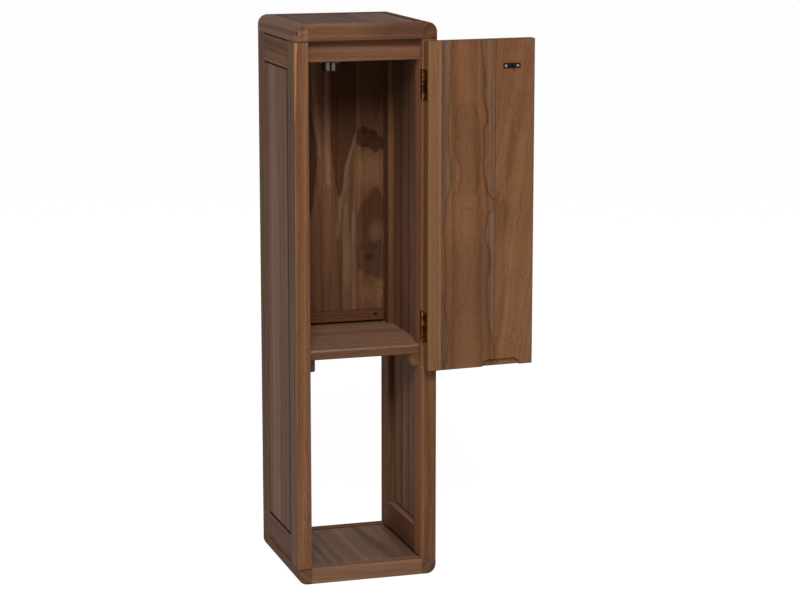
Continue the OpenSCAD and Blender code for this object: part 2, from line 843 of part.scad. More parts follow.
// Block that slides under the mounting plate, with its axle pin and a pocket for the spring
module catch_carriage(side) {
    color(bright_steel) on_roller(side) difference() {
        union() {
            block([-carriage_half, -carriage_half, carriage_low],
                  [carriage_half, carriage_half, carriage_high]);
            translate([0, 0, catch_low]) cylinder(d = axle_d, h = carriage_low - catch_low + over);
        }
        translate([carriage_half - spring_pocket, 0, (carriage_low + carriage_high) / 2]) rotate([0, 90, 0])
            cylinder(d = spring_d + 2 * glue_gap, h = spring_pocket + over);
    }
}

module catch_roller(side) {
    color(roller_grey) on_roller(side) translate([0, 0, roller_low]) difference() {
        round_bar(roller_d / 2, roller_h, ease / 2);
        translate([0, 0, -over]) cylinder(r = axle_d / 2 + pin_gap, h = roller_h + 2 * over);
    }
}

// Coil of round wire along +Z, one unbroken tube
module coil(d, wire, l, turns) {
    steps = turns * 12;
    sides = 6;
    r = (d - wire) / 2;
    rise = (l - wire) / steps;
    points = [for (i = [0:steps], j = [0:sides - 1])
        let (a = i * 30, b = j * 360 / sides, q = r + wire / 2 * cos(b))
        [q * cos(a), q * sin(a), wire / 2 + i * rise + wire / 2 * sin(b)]];
    walls = [for (i = [0:steps - 1], j = [0:sides - 1])
        let (k = (j + 1) % sides)
        each [[i * sides + j, i * sides + k, (i + 1) * sides + k],
              [i * sides + j, (i + 1) * sides + k, (i + 1) * sides + j]]];
    first = [for (j = [1:sides - 2]) [0, j + 1, j]];
    last = [for (j = [1:sides - 2]) [steps * sides, steps * sides + j, steps * sides + j + 1]];
    polyhedron(points, concat(walls, first, last));
}

module catch_spring(side) {
    start = carriage_half - spring_pocket + glue_gap / 2;
    stop = (catch_bay - roller_pitch) / 2 - glue_gap / 2;
    color(bright_steel) on_roller(side) translate([start, 0, (carriage_low + carriage_high) / 2])
        rotate([0, 90, 0]) coil(spring_d, spring_wire, stop - start, spring_turns);
}

corner_rail(-1, true);  // top_left_corner_rail
corner_rail(1, true);  // top_right_corner_rail
cross_rail(true, true);  // top_front_rail
cross_rail(false, true);  // top_back_rail
slab_board(0, true);  // top_left_board
slab_board(1, true);  // top_middle_board
slab_board(2, true);  // top_right_board
corner_rail(-1, false);  // base_left_corner_rail
corner_rail(1, false);  // base_right_corner_rail
cross_rail(true, false);  // base_front_rail
cross_rail(false, false);  // base_back_rail
slab_board(0, false);  // base_left_board
slab_board(1, false);  // base_middle_board
slab_board(2, false);  // base_right_board
stile(-1, true);  // left_front_stile
stile(-1, false);  // left_back_stile
side_rail(-1, false);  // left_top_rail
side_rail(-1, true);  // left_bottom_rail
side_board(-1, true);  // left_front_board
side_board(-1, false);  // left_back_board
stile(1, true);  // right_front_stile
stile(1, false);  // right_back_stile
side_rail(1, false);  // right_top_rail
side_rail(1, true);  // right_bottom_rail
side_board(1, true);  // right_front_board
side_board(1, false);  // right_back_board
head_rail();
back_board(1);  // back_board_1
back_board(2);  // back_board_2
back_board(3);  // back_board_3
back_board(4);  // back_board_4
hanging_rail(1);  // upper_hanging_rail
hanging_rail(0);  // lower_hanging_rail
shelf_board(true);  // shelf_front_board
shelf_board(false);  // shelf_back_board
cleat(-1);  // left_cleat
cleat(1);  // right_cleat
cleat_screws();
dowels();
door_hinge_board();
door_middle_board();
door_free_board();
frame_leaf(hinge_zs[1]);  // upper_hinge_frame_leaf
door_leaf(hinge_zs[1]);  // upper_hinge_door_leaf
frame_leaf(hinge_zs[0]);  // lower_hinge_frame_leaf
door_leaf(hinge_zs[0]);  // lower_hinge_door_leaf
hinge_pins();
frame_hinge_screws();
door_hinge_screws();
strike_plate();
strike_screws();
catch_housing();
catch_screws();
catch_carriage(-1);  // catch_left_carriage
catch_carriage(1);  // catch_right_carriage
catch_roller(-1);  // catch_left_roller
catch_roller(1);  // catch_right_roller
catch_spring(-1);  // catch_left_spring
catch_spring(1);  // catch_right_spring
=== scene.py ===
"""Looks for the tall bathroom cabinet: oiled solid wood, brass butt hinges and a black roller catch.

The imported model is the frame: every board is a softened copy of its solid, sawn from a log of its own, so that
the growth rings on its faces, edges and ends belong together. Sizes are in metres, but for those of a board's log
and marks, which are in millimetres.
"""
from __future__ import annotations

import json
import logging
import math
from dataclasses import dataclass, field
from enum import Enum
from functools import reduce
from typing import Sequence, Union

import bmesh
import bpy
from mathutils import Euler, Matrix, Vector

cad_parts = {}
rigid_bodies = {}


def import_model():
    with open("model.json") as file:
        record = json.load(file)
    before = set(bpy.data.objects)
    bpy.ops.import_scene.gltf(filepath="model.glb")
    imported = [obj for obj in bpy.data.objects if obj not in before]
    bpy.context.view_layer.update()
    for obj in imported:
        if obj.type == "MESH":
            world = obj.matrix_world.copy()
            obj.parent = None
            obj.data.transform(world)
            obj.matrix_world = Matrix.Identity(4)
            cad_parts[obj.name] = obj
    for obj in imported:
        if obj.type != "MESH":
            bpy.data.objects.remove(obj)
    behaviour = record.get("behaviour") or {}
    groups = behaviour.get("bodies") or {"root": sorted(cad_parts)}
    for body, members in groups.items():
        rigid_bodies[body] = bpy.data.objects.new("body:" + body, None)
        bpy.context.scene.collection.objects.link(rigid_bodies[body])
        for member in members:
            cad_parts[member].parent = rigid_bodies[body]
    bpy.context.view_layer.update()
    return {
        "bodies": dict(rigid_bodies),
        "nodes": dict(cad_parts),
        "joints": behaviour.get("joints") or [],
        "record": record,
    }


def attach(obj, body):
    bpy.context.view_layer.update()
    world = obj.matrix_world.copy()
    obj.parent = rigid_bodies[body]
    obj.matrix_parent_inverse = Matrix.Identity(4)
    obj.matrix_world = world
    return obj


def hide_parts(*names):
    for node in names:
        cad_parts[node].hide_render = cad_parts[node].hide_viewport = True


LOG = logging.getLogger("cabinet")
Socket = bpy.types.NodeSocket
Number = Union[float, Socket]
Colour = tuple[float, float, float]
MM = 0.001
WELD = 2e-6
CENTRE = (0.5, 0.5, 0.5)
ORIGIN = (0.0, 0.0, 0.0)
ALONG_Z = Vector((0.0, 0.0, 1.0))
SEED_SHARES = (1.7, 0.9, 2.3)
BENDS = (((7.0, 7.0, 1.4), "Wander"), ((34.0, 34.0, 8.0), "Curl"))
RAGGED = (((30.0, 30.0, 12.0), 0.008), ((95.0, 95.0, 46.0), 0.0036), ((300.0, 300.0, 110.0), 0.0012))
YEARS, BROAD, BROAD_SEED = 110.0, 75.0, 3.7
FIBRES, PORES = (520.0, 520.0, 8.0), (1500.0, 1500.0, 60.0)
STREAKS, TONES = (75.0, 75.0, 1.3), (11.0, 11.0, 1.8)
ARRIS_SPOT_SCALE, SCRATCHES, CLOUDS = (60.0, 60.0, 14.0), (900.0, 900.0, 90.0), 160.0
RING_RISE, RING_CLOSE, RING_WEAKEST = 2.2, (0.9, 1.0), 0.25
BAND_STEP, PORE_STEP, END_STEP, ARRIS_SPOT_STEP, ARRIS_REACH = (0.25, 0.75), (0.60, 0.72), (0.55, 0.9), (0.25, 0.7), 2.5
ARC_WAVES, ARC_BREAKS, ARC_BREAK_STEP = (45.0, 45.0, 0.0), (110.0, 60.0, 0.0), (0.34, 0.56)
ARC_LINE_STEP, ARC_SIDE_STEP, ARC_INNER_STEP = (0.22, 0.5), (-0.35, 0.15), (1.0, 0.7)
DARK_STREAK, GREY_STREAK = (0.50, 0.70), (0.50, 0.32)
TONE_RANGE, FIBRE_SHADE, PORE_SHADE = (0.84, 1.16), 0.34, 0.78
NEAR_HEART, PITH, PITH_DEPTH = 20.0, (1.5 * MM, 4.5 * MM), 0.7
# The last of these lightens the long edges, for wear and a painted highlight.
LINE_SHADE, PITH_SHADE, END_SHADE, ARRIS_LIGHT = 0.45, 0.4, 0.5, 1.5
RIM, HALO, HALO_DEPTH = (2.2 * MM, 0.2 * MM), (8.0 * MM, 0.0), 0.35
ROUGH_RANGE, PORE_ROUGH, WOOD_SHINE, WOOD_BUMP = (0.56, 0.72), 0.12, 0.035, (0.5, 0.0003)
FIBRE_HEIGHT, RING_HEIGHT = 0.5, 0.3
STAIN_STEP, STAIN_ROUGH, METAL_ROUGH, METAL_BUMP = 0.24, 0.10, (0.75, 1.3), (0.25, 0.00008)
OVAL = {"X": 0.0, "Z": 0.0, "Across": 0.0, "Up": 0.0, "Half_Across": 0.01, "Half_Up": 0.01, "Lean": 0.0}


def srgb(*values: int) -> Colour:
    """Turns red, green and blue from 0 to 255, as they look on a screen, into scene values."""
    return tuple(v / 12.92 if v <= 0.04045 else ((v + 0.055) / 1.055) ** 2.4 for v in (n / 255.0 for n in values))


def extent(points: Sequence[Vector]) -> tuple[Vector, Vector]:
    """Lowest and highest corner of the box round some points."""
    return tuple(Vector([pick(p[i] for p in points) for i in range(3)]) for pick in (min, max))


class Along(Enum):
    """The way the grain of a board runs, with the turn that lays a log's heart that way."""

    WIDTH = (0.0, math.pi / 2, 0.0)
    DEPTH = (-math.pi / 2, 0.0, 0.0)
    HEIGHT = (0.0, 0.0, 0.0)

    def place(self, across: float, up: float) -> Vector:
        """Puts a distance across the grain, and one above it, into the object's axes."""
        return Vector({"WIDTH": (0.0, across, up), "DEPTH": (across, 0.0, up), "HEIGHT": (across, up, 0.0)}[self.name])


class Nodes:
    """Short ways to add nodes to one node tree and to join them."""

    def __init__(self, tree: bpy.types.NodeTree) -> None:
        """Keeps the tree that the nodes go into."""
        self.tree = tree

    def join(self, value: object, socket: Socket) -> None:
        """Links a socket, or writes a plain value, to an input.

        Args:
            value: A socket, a number, a vector or a colour of three values.
            socket: The input.
        """
        if isinstance(value, bpy.types.NodeSocket):
            self.tree.links.new(value, socket)
        elif socket.type == "RGBA" and len(value) == 3:
            socket.default_value = (*value, 1.0)
        else:
            socket.default_value = value

    def add(self, kind: str, feeds: dict[object, object], **settings: object) -> bpy.types.Node:
        """Adds a node, sets its plain settings and feeds its inputs.

        Args:
            kind: The node's type name.
            feeds: Input name or number, with the socket or value that feeds it, or a list of them.
            **settings: Properties of the node.

        Returns:
            The new node.
        """
        node = self.tree.nodes.new(kind)
        for name, value in settings.items():
            setattr(node, name, value)
        for key, value in feeds.items():
            for one in value if isinstance(value, list) else [value]:
                self.join(one, node.inputs[key])
        return node

    def math(self, kind: str, *values: Number) -> Socket:
        """Adds a Math node and returns its result."""
        return self.add("ShaderNodeMath", dict(enumerate(values)), operation=kind).outputs[0]

    def times(self, *values: Number) -> Socket:
        """Multiplies two values or more."""
        return reduce(lambda one, other: self.math("MULTIPLY", one, other), values)

    def plus(self, *values: Number) -> Socket:
        """Adds two values or more up."""
        return reduce(lambda one, other: self.math("ADD", one, other), values)

    def minus(self, *values: Number) -> Socket:
        """Takes all further values from the first."""
        return reduce(lambda one, other: self.math("SUBTRACT", one, other), values)

    def vector(self, kind: str, *values: object) -> Socket:
        """Adds a Vector Math node and returns its vector, or its value where that is its result."""
        made = self.add("ShaderNodeVectorMath", dict(enumerate(values)), operation=kind)
        return made.outputs["Value" if kind in ("LENGTH", "DOT_PRODUCT") else "Vector"]

    def triple(self, *values: Number) -> Socket:
        """Joins one to three numbers to a vector."""
        return self.add("ShaderNodeCombineXYZ", dict(enumerate(values))).outputs[0]

    def parts(self, vector: Socket) -> Sequence[Socket]:
        """Splits a vector."""
        return self.add("ShaderNodeSeparateXYZ", {0: vector}).outputs


class Wiring(Nodes):
    """Short ways to add the nodes of materials."""

    def noise(self, place: Socket, scale: Sequence[float], detail: float = 1.0, rough: float = 0.5,
              output: str = "Fac") -> Socket:
        """Adds a Noise Texture that is read at a place times a scale."""
        return self.add("ShaderNodeTexNoise", {"Vector": self.vector("MULTIPLY", place, scale), "Scale": 1.0,
                                               "Detail": detail, "Roughness": rough}).outputs[output]

    def wobble(self, bent: Socket, place: Socket, scale: Sequence[float], size: object) -> Socket:
        """Shifts a position by a noise that is read at a place."""
        raw = self.vector("SUBTRACT", self.noise(place, scale, 2.0, output="Color"), CENTRE)
        return self.vector("ADD", bent, self.vector("MULTIPLY", raw, size))

    def line_noise(self, value: Socket, seed: Number) -> Socket:
        """Adds a noise along one number."""
        return self.add("ShaderNodeTexNoise", {"W": self.plus(value, seed), "Scale": 1.0, "Detail": 2.0},
                        noise_dimensions="1D").outputs[0]

    def step(self, value: Number, low: Number, high: Number, kind: str = "SMOOTHSTEP") -> Socket:
        """Rises from 0 to 1 while the value goes from low to high."""
        return self.add("ShaderNodeMapRange", {0: value, 1: low, 2: high}, interpolation_type=kind).outputs[0]

    def spread(self, value: Number, low: Number, high: Number) -> Socket:
        """Spreads a value of 0 to 1 over a wider or narrower span."""
        return self.add("ShaderNodeMapRange", {0: value, 3: low, 4: high}).outputs[0]

    def curve(self, share: Socket, points: Sequence[tuple[float, float]]) -> Socket:
        """Follows a smooth line through points.

        Args:
            share: How far along the line it is, from 0 to 1.
            points: Share and height of each point.

        Returns:
            The height of the line.
        """
        heights = [height for _, height in points]
        lowest, span = min(heights), max(max(heights) - min(heights), 1e-4)
        node = self.add("ShaderNodeFloatCurve", {"Value": share})
        own = node.mapping.curves[0].points
        for index, (place, height) in enumerate(points):
            level = (height - lowest) / span
            if index < 2:
                own[index].location = (place, level)
            else:
                own.new(place, level)
        node.mapping.update()
        return self.spread(node.outputs[0], lowest, lowest + span)

    def blend(self, share: Number, first: object, second: object, kind: str = "MIX") -> Socket:
        """Mixes two colours and returns the colour."""
        return self.add("ShaderNodeMix", {0: share, 6: first, 7: second}, data_type="RGBA", blend_type=kind).outputs[2]

    def place(self, location: Sequence[float], turn: Sequence[float]) -> Socket:
        """Reads object coordinates in a frame that lies somewhere in the object."""
        feeds = {0: self.add("ShaderNodeTexCoord", {}).outputs["Object"], 1: tuple(location), 2: tuple(turn)}
        return self.add("ShaderNodeMapping", feeds, vector_type="TEXTURE").outputs[0]

    def group(self, tree: bpy.types.NodeTree, **values: object) -> Sequence[Socket]:
        """Places a shared effect with values named with underscores for spaces, and returns its outputs."""
        named = {name.replace("_", " "): value for name, value in values.items()}
        return self.add("ShaderNodeGroup", named, node_tree=tree).outputs

    def surface(self, inputs: Sequence[Socket], feeds: dict[str, object], height: Socket, strength: float,
                size: float) -> None:
        """Feeds a surface shader.

        Args:
            inputs: The shader's inputs.
            feeds: Values by input name.
            height: Height of the bumps, from 0 to 1.
            strength: How strongly they show.
            size: Height that 1 stands for.
        """
        bump = self.add("ShaderNodeBump", {"Strength": strength, "Distance": size, "Height": height})
        for name, value in {**feeds, "Normal": bump.outputs[0]}.items():
            self.join(value, inputs[name])


def new_material(name: str) -> tuple[bpy.types.Material, Wiring, Sequence[Socket]]:
    """Starts a material.

    Args:
        name: Its name.

    Returns:
        The material, its wiring and its shader's inputs.
    """
    made = bpy.data.materials.new(name)
    made.use_nodes = True
    return made, Wiring(made.node_tree), made.node_tree.nodes["Principled BSDF"].inputs


class Group(Wiring):
    """A shader node group, with its inputs as sockets to read."""

    def __init__(self, name: str, *vectors: str, **numbers: float) -> None:
        """Starts the group.

        Args:
            name: The group's name.
            *vectors: Names of its vector inputs.
            **numbers: Its other inputs with their usual values, named with underscores for spaces.
        """
        super().__init__(bpy.data.node_groups.new(name, "ShaderNodeTree"))
        face = self.tree.interface
        for key in vectors:
            face.new_socket(name=key, in_out="INPUT", socket_type="NodeSocketVector")
        for key, value in numbers.items():
            made = face.new_socket(name=key.replace("_", " "), in_out="INPUT", socket_type="NodeSocketFloat")
            made.default_value = value
        self.takes = self.tree.nodes.new("NodeGroupInput").outputs

    def give(self, **values: Socket) -> bpy.types.NodeTree:
        """Closes the group.

        Args:
            **values: Its outputs with what feeds them.

        Returns:
            The group's tree.
        """
        for key in values:
            self.tree.interface.new_socket(name=key, in_out="OUTPUT", socket_type="NodeSocketFloat")
        target = self.tree.nodes.new("NodeGroupOutput")
        for key, value in values.items():
            self.join(value, target.inputs[key])
        return self.tree


class Effects:
    """The effects that several materials share, each built once as a node group."""

    def __init__(self) -> None:
        """Builds the groups."""
        self.rings, self.end_grain, self.arris = self._rings(), self._end_grain(), self._arris()
        self.ragged, self.spot, self.arcs, self.scratches = (
            self._ragged(), self._spot(), self._arcs(), self._scratches())

    @staticmethod
    def _rings() -> bpy.types.NodeTree:
        """Growth rings, fibres, pores and streaks round the heart of a log that lies along Z.

        Returns:
            The group's tree.
        """
        w = Group("Growth Rings", "Position", Ring_Width=0.004, Wander=0.01, Curl=0.002, Seed=0.0)
        bent, width, seed = w.takes["Position"], w.takes["Ring Width"], w.takes["Seed"]
        away = w.triple(*(w.times(seed, share) for share in SEED_SHARES))
        start = w.vector("ADD", bent, away)
        for scale, name in BENDS:
            bent = w.wobble(bent, start, scale, w.triple(w.takes[name], w.takes[name]))
        flat = w.vector("LENGTH", w.vector("MULTIPLY", bent, (1.0, 1.0, 0.0)))
        uneven = w.times(w.minus(w.line_noise(w.times(flat, YEARS), seed), 0.5), width)
        count = w.math("DIVIDE", w.plus(flat, uneven), width)
        phase = w.math("FRACT", count)
        late = w.times(w.math("POWER", phase, RING_RISE), w.minus(1.0, w.step(phase, *RING_CLOSE)))
        year = w.add("ShaderNodeTexWhiteNoise", {"W": w.plus(w.math("FLOOR", count), seed)}, noise_dimensions="1D")
        strong = w.math("POWER", year.outputs["Value"], 2.0)
        broad = w.line_noise(w.times(flat, BROAD), w.times(seed, BROAD_SEED))
        follow = w.vector("ADD", bent, away)
        return w.give(
            Distance=flat, Ring=w.times(late, w.spread(strong, RING_WEAKEST, 1.0)), Bands=w.step(broad, *BAND_STEP),
            Fibre=w.noise(follow, FIBRES, 2.0, 0.6), Pores=w.step(w.noise(follow, PORES, 0.0), *PORE_STEP),
            Streak=w.noise(follow, STREAKS, 3.0), Tone=w.noise(start, TONES))

    @staticmethod
    def _end_grain() -> bpy.types.NodeTree:
        """Mask of the ends of a board, which drink more oil.

        Returns:
            The group's tree.
        """
        w = Group("End Grain", "Normal", "Grain")
        facing = w.math("ABSOLUTE", w.vector("DOT_PRODUCT", w.takes["Normal"], w.takes["Grain"]))
        return w.give(Mask=w.step(facing, *END_STEP))

    @staticmethod
    def _arris() -> bpy.types.NodeTree:
        """Mask of the long edges of a board: wear from hands and cloths, and a painted highlight where light catches
        them.

        Returns:
            The group's tree.
        """
        w = Group("Rubbed And Highlit Arris", "Position", "Half Size", Width=0.0009, Seed=0.0)
        place, width = w.takes["Position"], w.takes["Width"]
        inset = w.parts(w.vector("SUBTRACT", w.takes["Half Size"], w.vector("ABSOLUTE", place)))
        near = [w.minus(1.0, w.step(inset[i], width, w.times(width, ARRIS_REACH))) for i in (0, 1)]
        moved = w.vector("ADD", w.vector("MULTIPLY", place, ARRIS_SPOT_SCALE), w.takes["Seed"])
        return w.give(Mask=w.times(*near, w.step(w.noise(moved, (1.0, 1.0, 1.0), 2.0), *ARRIS_SPOT_STEP)))

    @staticmethod
    def _ragged() -> bpy.types.NodeTree:
        """A body's own coordinates, bent a little so that drawn lines look grown.

        Returns:
            The group's tree.
        """
        w = Group("Ragged Lines", "Position", Seed=0.0)
        bent = w.takes["Position"]
        moved = w.vector("ADD", bent, w.takes["Seed"])
        for scale, size in RAGGED:
            bent = w.wobble(bent, moved, scale, (size, size, size * 2.0))
        return w.give(**dict(zip("XYZ", w.parts(bent))))

    @staticmethod
    def _reach(w: Group) -> Socket:
        """Measures how far out a place lies in a leaning oval.

        Args:
            w: The group that takes the oval.

        Returns:
            0 in the oval's middle and 1 on its rim.
        """
        takes = w.takes
        x, z = w.minus(takes["X"], takes["Across"]), w.minus(takes["Z"], takes["Up"])
        cos, sin = w.math("COSINE", takes["Lean"]), w.math("SINE", takes["Lean"])
        first = w.math("DIVIDE", w.plus(w.times(x, cos), w.times(z, sin)), takes["Half Across"])
        second = w.math("DIVIDE", w.minus(w.times(z, cos), w.times(x, sin)), takes["Half Up"])
        return w.math("SQRT", w.plus(w.math("POWER", first, 2.0), w.math("POWER", second, 2.0)))

    @classmethod
    def _spot(cls) -> bpy.types.NodeTree:
        """Mask of one oval on a board's face."""
        w = Group("Spot", **OVAL, Soft=0.3)
        return w.give(Mask=w.step(cls._reach(w), 1.0, w.minus(1.0, w.takes["Soft"])))

    @classmethod
    def _arcs(cls) -> bpy.types.NodeTree:
        """Mask of nested arcs on a board's face, broken here and there and open on one side.

        Returns:
            The group's tree.
        """
        w = Group("Nested Arcs", **OVAL, Count=5.0, Open=0.0)
        takes, reach = w.takes, cls._reach(w)
        place = w.triple(takes["X"], takes["Z"])
        phase = w.math("FRACT", w.plus(w.times(reach, takes["Count"]), w.noise(place, ARC_WAVES, 2.0)))
        line = w.step(w.math("ABSOLUTE", w.minus(phase, 0.5)), *ARC_LINE_STEP)
        broken = w.step(w.noise(place, ARC_BREAKS), *ARC_BREAK_STEP)
        side = w.times(w.minus(takes["Z"], takes["Up"]), takes["Open"])
        side = w.step(w.math("DIVIDE", side, takes["Half Up"]), *ARC_SIDE_STEP)
        return w.give(Mask=w.times(line, broken, w.step(reach, *ARC_INNER_STEP), side))

    @staticmethod
    def _scratches() -> bpy.types.NodeTree:
        """Fine rubbing marks and cloudy patches on metal or plastic.

        Returns:
            The group's tree.
        """
        w = Group("Rubbing Marks", "Position", Cloud_Size=1.0)
        place, scale = w.takes["Position"], w.math("DIVIDE", CLOUDS, w.takes["Cloud Size"])
        return w.give(Marks=w.noise(place, SCRATCHES, 3.0, 0.65),
                      Clouds=w.noise(place, w.triple(scale, scale, scale), 2.0))


@dataclass(frozen=True)
class Palette:
    """The colours that one board is painted with."""

    early: Colour
    late: Colour
    streak: Colour
    sap: Colour

    def times(self, factor: float) -> "Palette":
        """The same colours, lighter or darker."""
        return Palette(*(tuple(min(1.0, v * factor) for v in c)
                         for c in (self.early, self.late, self.streak, self.sap)))


WARM = Palette(srgb(124, 85, 57), srgb(88, 56, 36), srgb(100, 61, 40), srgb(118, 90, 70))
# Colours of the side, top and base boards: their grey cast is partly the wood's and partly painted sheen from grazing
# light.
GREY = Palette(srgb(112, 85, 71), srgb(84, 61, 51), srgb(92, 63, 53), srgb(112, 95, 86))
DEEP = Palette(srgb(112, 74, 51), srgb(74, 45, 30), srgb(80, 48, 34), srgb(118, 86, 66))
PALE = Palette(srgb(126, 90, 62), srgb(102, 69, 45), srgb(110, 74, 48), srgb(120, 96, 78))
# The shelf's colours, lighter than its wood: painted light on the shelf top.
SHELF_PAINTED_LIGHT = Palette(srgb(148, 112, 90), srgb(114, 80, 62), srgb(118, 82, 64), srgb(150, 124, 104))
RAW = Palette(srgb(205, 170, 125), srgb(182, 142, 98), srgb(190, 150, 104), srgb(212, 182, 142))
SAP_GREY = srgb(118, 89, 71)
SAP_PINK = srgb(128, 92, 68)
REDDISH = srgb(128, 82, 56)
FLAME = srgb(108, 72, 50)
HEART_DARK = srgb(58, 33, 20)
KNOT_DARK = srgb(40, 26, 16)
BAND_TAN = srgb(136, 99, 70)
BAND_PINK = srgb(130, 92, 72)
# Dark joint lines, and painted shade on the walls of grooves and gaps.
JOINT_DARK_AND_GROOVE_SHADE = srgb(30, 20, 15)


class Run(Enum):
    """The two axes of the face that a mark lies on: the one along the mark and the one across it."""

    UP = (2, 0)
    UP_SIDE = (2, 1)
    ACROSS = (0, 2)
    IN = (1, 0)
    IN_SIDE = (1, 2)
    OVER = (0, 1)


@dataclass(frozen=True)
class Paint:
    """What the marks of one board are laid with.

    Attributes:
        w: The wiring of the board's material.
        bent: The body's axes, wandering a little.
        still: The body's axes.
        line: Colour of the line along a streak's borders.
        effects: The shared effects.
    """

    w: Wiring
    bent: Sequence[Socket]
    still: Sequence[Socket]
    line: Colour
    effects: Effects


@dataclass(frozen=True)
class Streak:
    """Wood of another colour between two wandering lines.

    Attributes:
        path: Places along the streak, each with where the streak starts and stops across it.
        colour: Its colour.
        depth: How strongly it covers the wood.
        soft: Width of its soft border.
        edge: Darkness of the thin line along its borders.
        run: The way it runs.
        fade: Length over which its ends fade.
        straight: True where its borders do not wander, such as those of a joint.
    """

    path: tuple[tuple[float, float, float], ...]
    colour: Colour
    depth: float = 0.8
    soft: float = 1.5
    edge: float = 0.0
    run: Run = Run.UP
    fade: float = 6.0
    straight: bool = False

    def lay(self, paint: Paint, colour: Socket) -> Socket:
        """Lays the streak over a colour.

        Args:
            paint: What it is laid with.
            colour: The colour so far.

        Returns:
            The colour with the streak on it.
        """
        w, soft, fade = paint.w, self.soft * MM, self.fade * MM
        along, across = ((paint.still if self.straight else paint.bent)[i] for i in self.run.value)
        rows = [[value * MM for value in row] for row in self.path]
        first, last = rows[0][0], rows[-1][0]
        share = w.step(along, first, last, "LINEAR")
        low, high = (w.minus(across, w.curve(share, [((row[0] - first) / (last - first), row[k]) for row in rows]))
                     for k in (1, 2))
        ends = w.times(w.step(along, first - fade, first + fade), w.step(along, last + fade, last - fade))
        inside = w.times(w.step(low, -soft, soft), w.step(high, soft, -soft))
        colour = w.blend(w.times(inside, ends, self.depth), colour, self.colour)
        if self.edge:
            near = w.math("MINIMUM", w.math("ABSOLUTE", low), w.math("ABSOLUTE", high))
            rim = w.math("MAXIMUM", w.step(near, *RIM), w.times(w.step(near, *HALO), HALO_DEPTH))
            colour = w.blend(w.times(rim, ends, self.edge), colour, paint.line)
        return colour


@dataclass(frozen=True)
class Oval:
    """A mark that fills an oval on a board's face.

    Attributes:
        place: Its middle, across and up.
        reach: Its half sizes, across and up.
        colour: Its colour.
        depth: How strongly it covers the wood.
        lean: Its turn on the face, in degrees.
        run: The axes across and up.
    """

    place: tuple[float, float]
    reach: tuple[float, float]
    colour: Colour
    depth: float
    lean: float = 0.0
    run: Run = Run.ACROSS

    def _fill(self, paint: Paint, colour: Socket, effect: bpy.types.NodeTree, **own: float) -> Socket:
        """Fills the oval.

        Args:
            paint: What it is laid with.
            colour: The colour so far.
            effect: The group that gives the mask.
            **own: The group's own inputs.

        Returns:
            The colour with the mark on it.
        """
        names = ("X", "Z", "Across", "Up", "Half_Across", "Half_Up")
        sizes = [value * MM for value in (*self.place, *self.reach)]
        oval = dict(zip(names, [*(paint.bent[i] for i in self.run.value), *sizes]))
        mask = paint.w.group(effect, **oval, Lean=math.radians(self.lean), **own)["Mask"]
        return paint.w.blend(paint.w.times(mask, self.depth), colour, self.colour)


@dataclass(frozen=True)
class Patch(Oval):
    """A round or drawn-out spot of another colour, such as the wood round a knot.

    Attributes:
        soft: Share of its reach that fades.
    """

    soft: float = 0.8

    def lay(self, paint: Paint, colour: Socket) -> Socket:
        """Lays the patch over a colour and returns the colour."""
        return self._fill(paint, colour, paint.effects.spot, Soft=self.soft)


@dataclass(frozen=True)
class Arcs(Oval):
    """Nested thin lines, where a board's face cuts the rings near a knot or a bend.

    Attributes:
        count: Number of arcs.
        open: 1 keeps the upper halves, -1 the lower halves and 0 whole rings.
    """

    count: float = 4.5
    open: float = 0.0

    def lay(self, paint: Paint, colour: Socket) -> Socket:
        """Lays the arcs over a colour and returns the colour."""
        return self._fill(paint, colour, paint.effects.arcs, Count=self.count, Open=self.open)


Mark = Union[Streak, Patch, Arcs]


@dataclass(frozen=True)
class Stand:
    """Where a body's own upright axes lie in the object as it is drawn."""

    origin: Vector
    turn: float

    def outward(self) -> Matrix:
        """Takes a point in the body's own axes into the object."""
        return Matrix.Translation(self.origin) @ Matrix.Rotation(self.turn, 4, "Z")

    def own(self, points: Sequence[Vector]) -> list[Vector]:
        """Takes points of the object into the body's own axes."""
        inward = Matrix.Rotation(-self.turn, 4, "Z") @ Matrix.Translation(-self.origin)
        return [inward @ point for point in points]


STILL = Stand(Vector(ORIGIN), 0.0)


